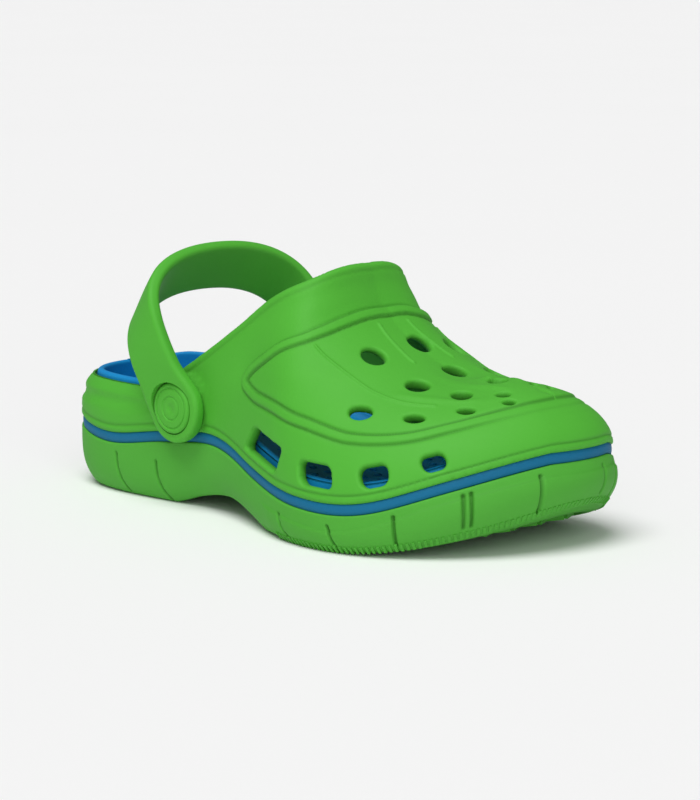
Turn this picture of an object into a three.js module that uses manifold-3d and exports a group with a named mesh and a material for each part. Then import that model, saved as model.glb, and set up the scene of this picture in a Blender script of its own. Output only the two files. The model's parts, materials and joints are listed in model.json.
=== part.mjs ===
// Child's foam garden clog, right foot, with a heel strap that swings on two rivets.
// Millimetres. +X points to the toe, +Y to the inner side of the foot, +Z up.
// Origin: the ground, under the middle of the plan.
import * as THREE from 'three';
import { mergeVertices } from 'three/addons/utils/BufferGeometryUtils.js';
import Module from 'manifold-3d';

const wasm = await Module();
wasm.setup();

// ---- Driving dimensions ----------------------------------------------------
const LENGTH = 193;               // heel to toe
const WIDTH = 87;                 // across the ball of the foot
const INSTEP_HEIGHT = 79;         // ground to the top of the collar, before the collar is cut
const FIT_GAP = 0.3;              // between pieces that touch
const UPPER_WALL = 4;
const STRIPE_THICKNESS = 3.1;     // midsole edge that shows, with its two gaps
const STRIPE_RECESS = 0.8;        // how far the midsole edge sits in
const SOLE_TUCK = 4;              // how far the sole's bottom edge sits in
const FOOTBED_THICKNESS = 2.6;
const FOOTBED_WALL = 2.2;
const FOOTBED_LIP = 3;            // edge of the footbed above its floor, in front of the heel cup
const FOOTBED_SEAT_GAP = 0.45;    // under the footbed
const COLLAR_HEIGHT = 35.5;       // heel collar above the ground
const CUP_PROUD = 1.2;            // heel cup above the collar
const PIVOT_HEIGHT = 31.7;
const PAD_RADIUS = 9.5;           // flat pad on the side wall, round the rivet
const PAD_PROUD = 0.3;            // past the wall, outside and inside
const STRAP_THICKNESS = 4;
const STRAP_WIDTH = 17.2;
const BAND_CHAMFER = 1.1;
const STRAP_REACH = 43.8;         // pivot to the middle of the band, at the top of the arch
const STRAP_LEAN = 115;           // degrees from +X, in which the raised strap points
const BAND_LEAN = 58;             // degrees from +X of the band's width, at the top of the arch
const BAND_TWIST_END = 0.7;       // share of each half over which the band turns to that
const STRAP_LEG_PULL = 6;         // upward pull of the leg's curve
const STRAP_TOP_PULL = 50;        // sideways pull of the arch's top
const PADDLE_RADIUS = 10.8;
const POST_RADIUS = 3;
const CAP_RADIUS = 7.8;
const CAP_THICKNESS = 1.6;
const CAP_SUNK = 1.2;             // recess in the paddle that the cap sits in
const SOCKET_RADIUS = 5.6;
const SOCKET_DEPTH = 1.6;
const SOCKET_BACK = 1;
const TREAD_DEPTH = 1.4;
const TREAD_WIDTH = 3;
const TREAD_PITCH = 9;

const STATIONS = 32;              // steps along the length, on each side
const HALF_LENGTH = LENGTH / 2;
const WELL_PAST = 20;             // extra reach of a cutting solid

// ---- Shape of the shoe -----------------------------------------------------
// Plan: control points of a closed cubic B-spline, from the heel round the outer side to the toe
// and back along the inner side, as shares of the length and the width.
const PLAN = [
  [-0.51, 0.033], [-0.464, -0.259], [-0.312, -0.33], [-0.15, -0.293],
  [0.002, -0.359], [0.155, -0.52], [0.318, -0.506], [0.453, -0.253],
  [0.517, 0.116], [0.485, 0.433], [0.338, 0.523], [0.17, 0.47],
  [-0.007, 0.345], [-0.184, 0.33], [-0.348, 0.357], [-0.475, 0.285],
];

// Heights in millimetres at shares of the length.
const seamHeight = curveThrough([
  [-0.49, 21], [-0.337, 17.7], [-0.207, 20.9], [-0.078, 22.8], [0.052, 17],
  [0.181, 13.2], [0.31, 14.1], [0.415, 21.4], [0.49, 27.7],
]);
const groundCurve = curveThrough([
  [-0.5, 7], [-0.466, 2.6], [-0.415, 0.3], [-0.373, 0], [-0.197, 0], [-0.135, 3.5],
  [-0.052, 5.5], [0.02, 2.5], [0.072, 0], [0.233, 0], [0.31, 0.9], [0.39, 3.8], [0.455, 8.4], [0.5, 13.4],
]);
const ridgeShare = curveThrough([
  [-0.337, 1.067], [-0.155, 1.065], [0, 1.054], [0.093, 1.004], [0.145, 0.819],
  [0.197, 0.699], [0.249, 0.623], [0.3, 0.587], [0.342, 0.608],
]);
// The dome of the upper closes from the plan onto this ridge line.
const ridgePlace = polyline([[-0.503, -0.311], [-0.26, -0.218], [0.26, 0.218], [0.497, 0.332]]);
const ridgeSide = polyline([[-0.311, 0], [0, 0.023], [0.332, 0.08]]);
const DOME_FULLNESS = 2.08;       // 2 is an ellipse, more is squarer
const DOME_RISE = 1.95;
// Side view of the throat, which is open above this line: shares of the length, and of the rise
// from the heel collar to the instep.
const THROAT = [
  [-0.26, 0], [-0.235, 0.028], [-0.18, 0.149], [-0.122, 0.31], [-0.083, 0.421],
  [0.004, 0.685], [0.052, 0.805], [0.088, 0.901], [0.109, 1.034],
];

function curveThrough(points) {
  const xs = points.map((point) => point[0] * LENGTH);
  const values = points.map((point) => point[1]);
  const last = points.length - 1;
  const slopes = values.map((value, i) => {
    if (i === 0) return (values[1] - value) / (xs[1] - xs[0]);
    if (i === last) return (value - values[i - 1]) / (xs[i] - xs[i - 1]);
    const before = xs[i] - xs[i - 1];
    const after = xs[i + 1] - xs[i];
    const rise = before * before * (values[i + 1] - value) + after * after * (value - values[i - 1]);
    return rise / (before * after * (before + after));
  });
  return (place) => {
    const x = THREE.MathUtils.clamp(place, xs[0], xs[last]);
    let i = 0;
    while (i < last - 1 && x > xs[i + 1]) i += 1;
    const span = xs[i + 1] - xs[i];
    const s = (x - xs[i]) / span;
    const start = (2 * s ** 3 - 3 * s ** 2 + 1) * values[i] + (s ** 3 - 2 * s ** 2 + s) * span * slopes[i];
    const end = (3 * s ** 2 - 2 * s ** 3) * values[i + 1] + (s ** 3 - s ** 2) * span * slopes[i + 1];
    return start + end;
  };
}

function polyline(points) {
  return (place) => {
    const share = place / LENGTH;
    let i = 0;
    while (i < points.length - 2 && share > points[i + 1][0]) i += 1;
    const s = (share - points[i][0]) / (points[i + 1][0] - points[i][0]);
    return THREE.MathUtils.lerp(points[i][1], points[i + 1][1], THREE.MathUtils.clamp(s, 0, 1));
  };
}

const groundHeight = (x) => Math.max(0, groundCurve(x));
const ridgeX = (x) => ridgePlace(x) * LENGTH;
const ridgeTop = (x) => ridgeShare(x) * INSTEP_HEIGHT;
const outsoleTop = (x) => seamHeight(x) - STRIPE_THICKNESS / 2 - FIT_GAP / 2;
const midsoleBottom = (x) => outsoleTop(x) + FIT_GAP;
const upperBase = (x) => seamHeight(x) + STRIPE_THICKNESS / 2 + FIT_GAP / 2;
const midsoleTop = (x) => upperBase(x) - FIT_GAP;
const footbedBottom = (x) => midsoleTop(x) + FOOTBED_SEAT_GAP;
const footbedFloor = (x) => footbedBottom(x) + FOOTBED_THICKNESS;

// ---- Plan outline, at any distance inside the edge --------------------------
const PLAN_STEPS = 320;
const plan = stretchedPlan();

function splinePoint(t) {
  const count = PLAN.length;
  const i = Math.floor(t);
  const f = t - i;
  const weights = [(1 - f) ** 3, 3 * f ** 3 - 6 * f ** 2 + 4, -3 * f ** 3 + 3 * f ** 2 + 3 * f + 1, f ** 3];
  const control = (k) => PLAN[(i + k + count - 1) % count];
  const at = (axis) => weights.reduce((sum, weight, k) => sum + weight * control(k)[axis], 0) / 6;
  return new THREE.Vector2(at(0) * LENGTH, at(1) * WIDTH);
}

function stretchedPlan() {
  const points = [];
  for (let k = 0; k < PLAN_STEPS; k += 1) points.push(splinePoint((k * PLAN.length) / PLAN_STEPS));
  const box = new THREE.Box2().setFromPoints(points);
  const centre = box.getCenter(new THREE.Vector2());
  const size = box.getSize(new THREE.Vector2());
  return points.map((point) => new THREE.Vector2(
    ((point.x - centre.x) * LENGTH) / size.x,
    ((point.y - centre.y) * WIDTH) / size.y,
  ));
}

function insetPlan(inset) {
  const count = plan.length;
  return plan.map((point, i) => {
    const along = plan[(i + 1) % count].clone().sub(plan[(i + count - 1) % count]).normalize();
    return new THREE.Vector2(point.x - inset * along.y, point.y + inset * along.x);
  });
}

// The same stations on every ring: heel, outer side, toe, inner side.
function planRing(inset) {
  const loop = insetPlan(inset);
  const count = loop.length;
  const heel = loop.reduce((best, point, i) => (point.x < loop[best].x ? i : best), 0);
  const toe = loop.reduce((best, point, i) => (point.x > loop[best].x ? i : best), 0);
  const outerSide = [];
  for (let i = heel; i !== (toe + 1) % count; i = (i + 1) % count) outerSide.push(loop[i]);
  const innerSide = [];
  for (let i = heel; i !== (toe + count - 1) % count; i = (i + count - 1) % count) innerSide.push(loop[i]);
  const yOn = (side, x) => {
    let k = 1;
    while (k < side.length - 1 && side[k].x < x) k += 1;
    const s = (x - side[k - 1].x) / (side[k].x - side[k - 1].x);
    return side[k - 1].y + (side[k].y - side[k - 1].y) * s;
  };
  const middle = (loop[heel].x + loop[toe].x) / 2;
  const half = (loop[toe].x - loop[heel].x) / 2;
  const pointOn = (side, i) => {
    const x = middle - half * Math.cos((Math.PI * i) / STATIONS);
    return new THREE.Vector2(x, yOn(side, x));
  };
  const ring = [loop[heel].clone()];
  for (let i = 1; i < STATIONS; i += 1) ring.push(pointOn(outerSide, i));
  ring.push(loop[toe].clone());
  for (let i = STATIONS - 1; i > 0; i -= 1) ring.push(pointOn(innerSide, i));
  return ring;
}

const levelRing = (inset, height) => planRing(inset).map((p) => new THREE.Vector3(p.x, p.y, height(p.x)));

// ---- Dome of the upper -------------------------------------------------------
function domePoint(edge, inset, angle) {
  const x = ridgeX(edge.x);
  const y = ridgeSide(x) * WIDTH;
  const across = Math.cos(angle) ** (2 / DOME_FULLNESS);
  const up = Math.sin(angle) ** (2 / DOME_RISE);
  const base = upperBase(edge.x);
  return new THREE.Vector3(
    x + (edge.x - x) * across,
    y + (edge.y - y) * across,
    base + (ridgeTop(x) - inset - base) * up,
  );
}

function domeAngle(edge, inset, height) {
  const base = upperBase(edge.x);
  const share = (height - base) / (ridgeTop(ridgeX(edge.x)) - inset - base);
  return Math.asin(THREE.MathUtils.clamp(share, 0, 1) ** (DOME_RISE / 2));
}

const domeRing = (inset, angle) => planRing(inset).map((edge) => domePoint(edge, inset, angle));
const wallRing = (inset, height) => planRing(inset).map(
  (edge) => domePoint(edge, inset, domeAngle(edge, inset, height(edge.x))),
);

// ---- Solids ------------------------------------------------------------------
// Corners are shared before a shape is turned or moved, so that rounding can't part them.
function welded(geometry) {
  geometry.deleteAttribute('normal');
  geometry.deleteAttribute('uv');
  return mergeVertices(geometry, 1e-4);
}

function solidOf(geometry) {
  return new wasm.Manifold(new wasm.Mesh({
    numProp: 3,
    vertProperties: geometry.attributes.position.array,
    triVerts: new Uint32Array(geometry.index.array),
  }));
}

function geometryOf(solid) {
  const mesh = solid.getMesh();
  const geometry = new THREE.BufferGeometry();
  geometry.setAttribute('position', new THREE.BufferAttribute(new Float32Array(mesh.vertProperties), 3));
  geometry.setIndex(new THREE.BufferAttribute(new Uint32Array(mesh.triVerts), 1));
  geometry.computeVertexNormals();
  return geometry;
}

// Skin over rings, from the lowest up, that run heel, outer side, toe, inner side. The first and
// last rings are closed straight across.
function loft(rings) {
  const count = rings[0].length;
  const positions = rings.flat().flatMap((point) => [point.x, point.y, point.z]);
  const index = [];
  for (let r = 0; r < rings.length - 1; r += 1) {
    for (let i = 0; i < count; i += 1) {
      const a = r * count + i;
      const b = r * count + ((i + 1) % count);
      index.push(a, b, a + count, b, b + count, a + count);
    }
  }
  const closeAcross = (first, flip) => {
    for (let i = 0; i < count / 2; i += 1) {
      const a = first + i;
      const b = first + i + 1;
      const c = first + (count - i - 1);
      const d = first + ((count - i) % count);
      const faces = [[a, c, b], [a, d, c]].filter((face) => new Set(face).size === 3);
      faces.forEach((face) => index.push(...(flip ? face.reverse() : face)));
    }
  };
  closeAcross(0, false);
  closeAcross((rings.length - 1) * count, true);
  const geometry = new THREE.BufferGeometry();
  geometry.setAttribute('position', new THREE.Float32BufferAttribute(positions, 3));
  geometry.setIndex(index);
  return solidOf(geometry);
}

// A side view (x, z) made solid right across the shoe.
function sidePrism(outline) {
  const depth = WIDTH + 2 * WELL_PAST;
  const shape = new THREE.Shape(outline);
  const geometry = welded(new THREE.ExtrudeGeometry(shape, { depth, bevelEnabled: false }));
  geometry.applyMatrix4(new THREE.Matrix4().makeBasis(
    new THREE.Vector3(1, 0, 0),
    new THREE.Vector3(0, 0, 1),
    new THREE.Vector3(0, -1, 0),
  ));
  geometry.translate(0, depth / 2, 0);
  return solidOf(geometry);
}

// A cylinder along the Y axis between two values of y.
function crossCylinder(radius, yStart, yEnd, x, z, sides = 32) {
  const geometry = welded(new THREE.CylinderGeometry(radius, radius, Math.abs(yEnd - yStart), sides));
  geometry.translate(x, (yStart + yEnd) / 2, z);
  return solidOf(geometry);
}

function box(width, depth, height, x, y, z) {
  const geometry = welded(new THREE.BoxGeometry(width, depth, height));
  geometry.translate(x, y, z);
  return solidOf(geometry);
}

// ---- Pivot, worked out from the wall beside it ----------------------------------
const PIVOT_X = -0.15 * LENGTH;

// Distance of the wall from the middle of the shoe, along the lower (-1) or upper (1) rim of a disc
// centred on the pivot.
function wallBeside(side, inset, radius, rim) {
  return insetPlan(inset)
    .filter((edge) => edge.y * side > 0 && Math.abs(edge.x - PIVOT_X) < radius)
    .map((edge) => {
      const height = PIVOT_HEIGHT + rim * Math.sqrt(radius ** 2 - (edge.x - PIVOT_X) ** 2);
      return Math.abs(domePoint(edge, inset, domeAngle(edge, inset, height)).y);
    });
}

function pivotOn(side) {
  const padFace = Math.max(...wallBeside(side, 0, PADDLE_RADIUS, -1)) + PAD_PROUD;
  const padBack = Math.min(...wallBeside(side, UPPER_WALL, SOCKET_RADIUS, 1)) - PAD_PROUD;
  const paddleInner = padFace + FIT_GAP;
  const paddleOuter = paddleInner + STRAP_THICKNESS;
  const recess = paddleOuter - CAP_SUNK;
  return { side, padFace, padBack, paddleInner, paddleOuter, recess };
}

const outerPivot = pivotOn(-1);
const innerPivot = pivotOn(1);

// ---- Outsole -------------------------------------------------------------------
const TREAD = [{ start: -0.35, grooves: 3 }, { start: 0.1, grooves: 4 }];

function makeOutsole() {
  const levels = [1, 0.88, 0.7, 0.45, 0];
  const rings = levels.map((level) => levelRing(
    SOLE_TUCK * level ** 4,
    (x) => outsoleTop(x) + (groundHeight(x) - outsoleTop(x)) * level,
  ));
  let sole = loft(rings);
  TREAD.forEach(({ start, grooves }) => {
    for (let i = 0; i < grooves; i += 1) {
      const x = start * LENGTH + i * TREAD_PITCH;
      sole = sole.subtract(box(TREAD_WIDTH, 2 * WIDTH, 2 * TREAD_DEPTH, x, 0, groundHeight(x)));
    }
  });
  return sole;
}

// ---- Midsole -------------------------------------------------------------------
function makeMidsole() {
  return loft([levelRing(STRIPE_RECESS, midsoleBottom), levelRing(STRIPE_RECESS, midsoleTop)]);
}

// ---- Footbed -------------------------------------------------------------------
const CUP_FRONT = -0.3;           // share of the length where the heel cup starts to fall
const CUP_END = -0.2;             // and where it has become the low lip

function footbedRim(x) {
  const low = footbedFloor(x) + FOOTBED_LIP;
  const high = COLLAR_HEIGHT + CUP_PROUD;
  return THREE.MathUtils.lerp(high, low, THREE.MathUtils.smoothstep(x / LENGTH, CUP_FRONT, CUP_END));
}

function makeFootbed() {
  const outer = UPPER_WALL + FIT_GAP;
  const inner = outer + FOOTBED_WALL;
  const halfWay = (x) => (footbedFloor(x) + footbedRim(x)) / 2;
  let bed = loft([
    wallRing(outer, footbedBottom),
    wallRing(outer, halfWay),
    wallRing(outer, footbedRim),
    wallRing(inner, footbedRim),
    wallRing(inner, halfWay),
    wallRing(inner, footbedFloor),
  ]);
  [outerPivot, innerPivot].forEach((pivot) => {
    const back = pivot.padBack - SOCKET_DEPTH - SOCKET_BACK - 3 * FIT_GAP;
    const relief = [pivot.side * back, pivot.side * pivot.padFace];
    bed = bed.subtract(crossCylinder(PAD_RADIUS + 2 * FIT_GAP, ...relief, PIVOT_X, PIVOT_HEIGHT));
  });
  return bed;
}

// ---- Upper ---------------------------------------------------------------------
const SIDE_VENTS = [              // ends of the lower and upper edges as shares of the length
  { lower: [0.04, 0.128], upper: [0.069, 0.136], height: 6.8 },
  { lower: [0.206, 0.255], upper: [0.2, 0.247], height: 6 },
  { lower: [0.308, 0.343], upper: [0.3, 0.338], height: 5.2 },
  { lower: [0.386, 0.41], upper: [0.378, 0.405], height: 4 },
];
const SIDE_VENT_LIFT = 6;         // lower edge above the seam
const CENTRE_VENTS = [[0.2, 7.4], [0.27, 7], [0.357, 5.8]];  // share of the length, diameter
const VAMP_CENTRE = 0.075;        // share of the width
const FLANK_VENTS = [             // share of the length, share of the way to the edge, diameter
  [0.204, 0.411, 7.4], [0.286, 0.393, 7], [0.351, 0.328, 5.8], [0.4, 0.198, 4],
  [0.254, 0.747, 7], [0.333, 0.682, 6], [0.384, 0.513, 5], [0.42, 0.288, 3.6],
];

function throatCutter() {
  const top = COLLAR_HEIGHT + 2 * INSTEP_HEIGHT;
  const height = (rise) => THREE.MathUtils.lerp(COLLAR_HEIGHT, INSTEP_HEIGHT, rise);
  const line = THROAT.map(([share, rise]) => new THREE.Vector2(share * LENGTH, height(rise)));
  const smooth = new THREE.SplineCurve(line).getPoints(24);
  const start = new THREE.Vector2(-LENGTH, COLLAR_HEIGHT);
  return sidePrism([
    start,
    ...smooth,
    new THREE.Vector2(smooth.at(-1).x, top),
    new THREE.Vector2(-LENGTH, top),
  ]);
}

// A four-sided hole square to the wall, whose lower edge follows the seam.
function sideVent(side, vent) {
  const middle = ((vent.lower[0] + vent.lower[1]) / 2) * LENGTH;
  const edge = nearestEdge(side, middle);
  const run = (share) => (share * LENGTH - middle) / Math.abs(edge.out.y);
  const lift = (share) => seamHeight(share * LENGTH) + SIDE_VENT_LIFT;
  const corners = [0, 1].map((end) => [run(vent.lower[end]), lift(vent.lower[end])]);
  [1, 0].forEach((end) => corners.push([run(vent.upper[end]), lift(vent.lower[end]) + vent.height]));
  const shape = new THREE.Shape(corners.map(([along, up]) => new THREE.Vector2(-side * along, up)));
  const depth = 2 * WELL_PAST;
  const geometry = welded(new THREE.ExtrudeGeometry(shape, { depth, bevelEnabled: false }));
  geometry.translate(0, 0, -depth / 2);
  const across = new THREE.Vector3(edge.out.x, edge.out.y, 0);
  const up = new THREE.Vector3(0, 0, 1);
  geometry.applyMatrix4(new THREE.Matrix4().makeBasis(up.clone().cross(across), up, across));
  geometry.translate(edge.point.x, edge.point.y, 0);
  return solidOf(geometry);
}

function nearestEdge(side, x) {
  const count = plan.length;
  let best = -1;
  plan.forEach((p, i) => {
    if (p.y * side > 0 && (best < 0 || Math.abs(p.x - x) < Math.abs(plan[best].x - x))) best = i;
  });
  const along = plan[(best + 1) % count].clone().sub(plan[(best + count - 1) % count]).normalize();
  return { point: plan[best], out: new THREE.Vector2(along.y, -along.x) };
}

// A round hole square to the dome, over a place in the plan.
function roofVent(x, y, diameter) {
  const edges = planRing(0);
  let best = { miss: Infinity };
  edges.forEach((edge, i) => {
    for (let step = 2; step < 45; step += 1) {
      const angle = (step * Math.PI) / 90;
      const point = domePoint(edge, 0, angle);
      const miss = Math.hypot(point.x - x, point.y - y);
      if (miss < best.miss) best = { miss, i, angle, point };
    }
  });
  const next = domePoint(edges[(best.i + 1) % edges.length], 0, best.angle);
  const lower = domePoint(edges[best.i], 0, best.angle - 0.03);
  const out = lower.sub(best.point).cross(next.sub(best.point)).normalize();
  const geometry = welded(new THREE.CylinderGeometry(diameter / 2, diameter / 2, 6 * UPPER_WALL, 12));
  geometry.applyQuaternion(new THREE.Quaternion().setFromUnitVectors(new THREE.Vector3(0, 1, 0), out));
  geometry.translate(x, y, best.point.z);
  return solidOf(geometry);
}

function makeUpper() {
  const angles = [0, 7, 15, 25, 36, 48, 60, 72, 82, 88].map(THREE.MathUtils.degToRad);
  const shell = loft(angles.map((angle) => domeRing(0, angle)));
  const under = planRing(UPPER_WALL).map((p) => new THREE.Vector3(p.x, p.y, upperBase(p.x) - WELL_PAST));
  const hollow = loft([under, ...angles.map((angle) => domeRing(UPPER_WALL, angle))]);
  let upper = shell.subtract(hollow);
  const belowBase = sidePrism([
    ...planRing(0).slice(0, STATIONS + 1).map((p) => new THREE.Vector2(p.x, upperBase(p.x))),
    new THREE.Vector2(HALF_LENGTH, -WELL_PAST),
    new THREE.Vector2(-HALF_LENGTH, -WELL_PAST),
  ]);
  [outerPivot, innerPivot].forEach(({ side, padFace, padBack }) => {
    const pad = crossCylinder(PAD_RADIUS, side * padBack, side * padFace, PIVOT_X, PIVOT_HEIGHT);
    upper = upper.add(pad.subtract(belowBase));
  });
  upper = upper.subtract(throatCutter());
  [outerPivot, innerPivot].forEach(({ side, padFace }) => {
    const hole = crossCylinder(POST_RADIUS + FIT_GAP, 0, side * (padFace + 1), PIVOT_X, PIVOT_HEIGHT, 24);
    upper = upper.subtract(hole);
  });
  [-1, 1].forEach((side) => SIDE_VENTS.forEach((vent) => {
    upper = upper.subtract(sideVent(side, vent));
  }));
  CENTRE_VENTS.forEach(([share, diameter]) => {
    upper = upper.subtract(roofVent(share * LENGTH, VAMP_CENTRE * WIDTH, diameter));
  });
  [-1, 1].forEach((side) => FLANK_VENTS.forEach(([share, away, diameter]) => {
    const edge = nearestEdge(side, share * LENGTH).point;
    const y = THREE.MathUtils.lerp(VAMP_CENTRE * WIDTH, edge.y, away);
    upper = upper.subtract(roofVent(share * LENGTH, y, diameter));
  }));
  return upper;
}

// ---- Heel strap ------------------------------------------------------------------
const strapMiddle = (innerPivot.paddleInner - outerPivot.paddleInner) / 2;
const strapHalfSpan = (innerPivot.paddleInner + outerPivot.paddleInner + STRAP_THICKNESS) / 2;
const LEAN = THREE.MathUtils.degToRad(STRAP_LEAN);
const strapUp = new THREE.Vector3(Math.cos(LEAN), 0, Math.sin(LEAN));
const pivotCentre = new THREE.Vector3(PIVOT_X, strapMiddle, PIVOT_HEIGHT);
const onStrapPlane = (across, up) => pivotCentre.clone()
  .add(new THREE.Vector3(0, across, 0)).addScaledVector(strapUp, up);

// One half of the band's centre line, from the pivot to the top of the arch.
const halfBand = (side) => new THREE.CubicBezierCurve3(
  onStrapPlane(side * strapHalfSpan, 0),
  onStrapPlane(side * strapHalfSpan, STRAP_LEG_PULL),
  onStrapPlane(side * STRAP_TOP_PULL, STRAP_REACH),
  onStrapPlane(0, STRAP_REACH),
);

// From 0 at the outer pivot, over the top at 1, to 2 at the inner pivot.
function strapFrame(place) {
  const side = place < 1 ? -1 : 1;
  const share = place < 1 ? place : 2 - place;
  const point = halfBand(side).getPoint(share);
  const along = halfBand(side).getTangent(share).multiplyScalar(-side);
  const eased = THREE.MathUtils.smoothstep(share, 0, BAND_TWIST_END);
  const turn = THREE.MathUtils.degToRad(THREE.MathUtils.lerp(STRAP_LEAN - 90, BAND_LEAN, eased));
  const facing = new THREE.Vector3(Math.cos(turn), 0, Math.sin(turn));
  return { point, along, flat: facing.addScaledVector(along, -facing.dot(along)).normalize() };
}

function bandSection({ point, along, flat }) {
  const thin = along.clone().cross(flat).normalize();
  const w = STRAP_WIDTH / 2;
  const t = STRAP_THICKNESS / 2;
  const c = BAND_CHAMFER;
  const innerHalf = [[-w, c - t], [c - w, -t], [w - c, -t], [w, c - t]];
  const outerHalf = innerHalf.map(([a, b]) => [-a, -b]);
  return [...innerHalf, ...outerHalf]
    .map(([a, b]) => point.clone().addScaledVector(flat, a).addScaledVector(thin, b));
}

function makeStrap() {
  const steps = 24;
  const frames = Array.from({ length: steps + 1 }, (_, i) => strapFrame((2 * i) / steps));
  let strap = tube(frames.map(bandSection));
  [outerPivot, innerPivot].forEach(({ side, paddleInner, paddleOuter }) => {
    const faces = [side * paddleInner, side * paddleOuter];
    strap = strap.add(crossCylinder(PADDLE_RADIUS, ...faces, PIVOT_X, PIVOT_HEIGHT));
  });
  [outerPivot, innerPivot].forEach(({ side, paddleOuter, recess }) => {
    const through = [0, side * (paddleOuter + WELL_PAST)];
    const sunk = [side * recess, side * (paddleOuter + WELL_PAST)];
    strap = strap.subtract(crossCylinder(POST_RADIUS + FIT_GAP, ...through, PIVOT_X, PIVOT_HEIGHT, 24));
    strap = strap.subtract(crossCylinder(CAP_RADIUS + FIT_GAP, ...sunk, PIVOT_X, PIVOT_HEIGHT));
  });
  return strap;
}

function tube(sections) {
  const count = sections[0].length;
  const positions = sections.flat().flatMap((point) => [point.x, point.y, point.z]);
  const index = [];
  for (let s = 0; s < sections.length - 1; s += 1) {
    for (let i = 0; i < count; i += 1) {
      const a = s * count + i;
      const b = s * count + ((i + 1) % count);
      index.push(a, b, a + count, b, b + count, a + count);
    }
  }
  const last = (sections.length - 1) * count;
  for (let i = 1; i < count - 1; i += 1) {
    index.push(0, i + 1, i, last, last + i, last + i + 1);
  }
  const geometry = new THREE.BufferGeometry();
  geometry.setAttribute('position', new THREE.Float32BufferAttribute(positions, 3));
  geometry.setIndex(index);
  return solidOf(geometry);
}

// ---- Rivets ------------------------------------------------------------------------
// Both halves are turned about the pivot axis: (radius, distance from the middle of the shoe).
function turned(profile, side) {
  const points = profile.map(([radius, away]) => new THREE.Vector2(radius, away));
  const geometry = welded(new THREE.LatheGeometry(points, 32));
  if (side < 0) geometry.rotateZ(Math.PI);
  geometry.translate(PIVOT_X, 0, PIVOT_HEIGHT);
  return solidOf(geometry);
}

function makeCap({ side, padBack, recess }) {
  const under = recess + FIT_GAP;
  const tip = padBack - SOCKET_DEPTH;
  return turned([
    [0, tip],
    [POST_RADIUS, tip],
    [POST_RADIUS, under],
    [CAP_RADIUS, under],
    [CAP_RADIUS, under + CAP_THICKNESS / 2],
    [CAP_RADIUS - CAP_THICKNESS / 2, under + CAP_THICKNESS],
    [0, under + CAP_THICKNESS],
  ], side);
}

function makeSocket({ side, padBack }) {
  const face = padBack - FIT_GAP;
  const floor = padBack - SOCKET_DEPTH - FIT_GAP;
  const back = floor - SOCKET_BACK;
  return turned([
    [0, back],
    [SOCKET_RADIUS - SOCKET_BACK / 2, back],
    [SOCKET_RADIUS, back + SOCKET_BACK / 2],
    [SOCKET_RADIUS, face],
    [POST_RADIUS + FIT_GAP, face],
    [POST_RADIUS + FIT_GAP, floor],
    [0, floor],
  ], side);
}

// ---- Assembly ------------------------------------------------------------------------
const GREEN = { color: 0x5cb648, roughness: 0.55, metalness: 0 };
const DEEP_GREEN = { color: 0x54ab41, roughness: 0.6, metalness: 0 };
const BLUE = { color: 0x0a72c4, roughness: 0.6, metalness: 0 };

const clog = new THREE.Group();
function place(name, solid, finish) {
  const mesh = new THREE.Mesh(geometryOf(solid), new THREE.MeshStandardMaterial(finish));
  mesh.name = name;
  clog.add(mesh);
}

place('outsole', makeOutsole(), DEEP_GREEN);
place('midsole', makeMidsole(), BLUE);
place('footbed', makeFootbed(), BLUE);
place('upper', makeUpper(), GREEN);
place('heel_strap', makeStrap(), GREEN);
place('rivet_cap_lateral', makeCap(outerPivot), GREEN);
place('rivet_socket_lateral', makeSocket(outerPivot), GREEN);
place('rivet_cap_medial', makeCap(innerPivot), GREEN);
place('rivet_socket_medial', makeSocket(innerPivot), GREEN);

export default clog;
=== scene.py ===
"""Looks of a child's foam garden clog: shell, sole, footbed, heel strap and rivets."""

import json
import math

import bpy
import numpy as np
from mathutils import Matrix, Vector

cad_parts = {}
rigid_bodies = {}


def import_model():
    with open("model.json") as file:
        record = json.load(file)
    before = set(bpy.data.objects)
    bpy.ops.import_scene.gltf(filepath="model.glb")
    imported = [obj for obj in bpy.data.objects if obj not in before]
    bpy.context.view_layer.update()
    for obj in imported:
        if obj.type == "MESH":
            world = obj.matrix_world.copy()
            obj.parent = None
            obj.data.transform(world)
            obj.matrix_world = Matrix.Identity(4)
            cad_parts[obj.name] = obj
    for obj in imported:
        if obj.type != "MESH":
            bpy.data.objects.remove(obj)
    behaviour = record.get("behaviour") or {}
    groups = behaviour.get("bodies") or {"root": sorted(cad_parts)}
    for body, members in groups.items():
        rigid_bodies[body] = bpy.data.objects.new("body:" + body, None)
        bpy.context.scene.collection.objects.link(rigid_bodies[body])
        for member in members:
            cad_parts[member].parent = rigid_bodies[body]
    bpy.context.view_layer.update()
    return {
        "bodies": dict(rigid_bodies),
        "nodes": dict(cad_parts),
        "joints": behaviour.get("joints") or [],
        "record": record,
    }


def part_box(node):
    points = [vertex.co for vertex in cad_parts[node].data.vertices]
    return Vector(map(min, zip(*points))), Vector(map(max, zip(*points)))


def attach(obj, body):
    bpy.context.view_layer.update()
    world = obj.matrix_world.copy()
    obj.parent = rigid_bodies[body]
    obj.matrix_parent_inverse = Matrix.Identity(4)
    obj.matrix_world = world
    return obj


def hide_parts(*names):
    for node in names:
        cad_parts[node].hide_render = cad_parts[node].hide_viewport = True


bl_info = {
    "name": "Garden Clog",
    "version": (1, 0, 0),
    "blender": (4, 5, 0),
    "location": "View3D > Sidebar > Clog",
    "description": "Builds a foam garden clog with a swinging heel strap",
    "category": "Add Mesh",
}

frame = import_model()

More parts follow.
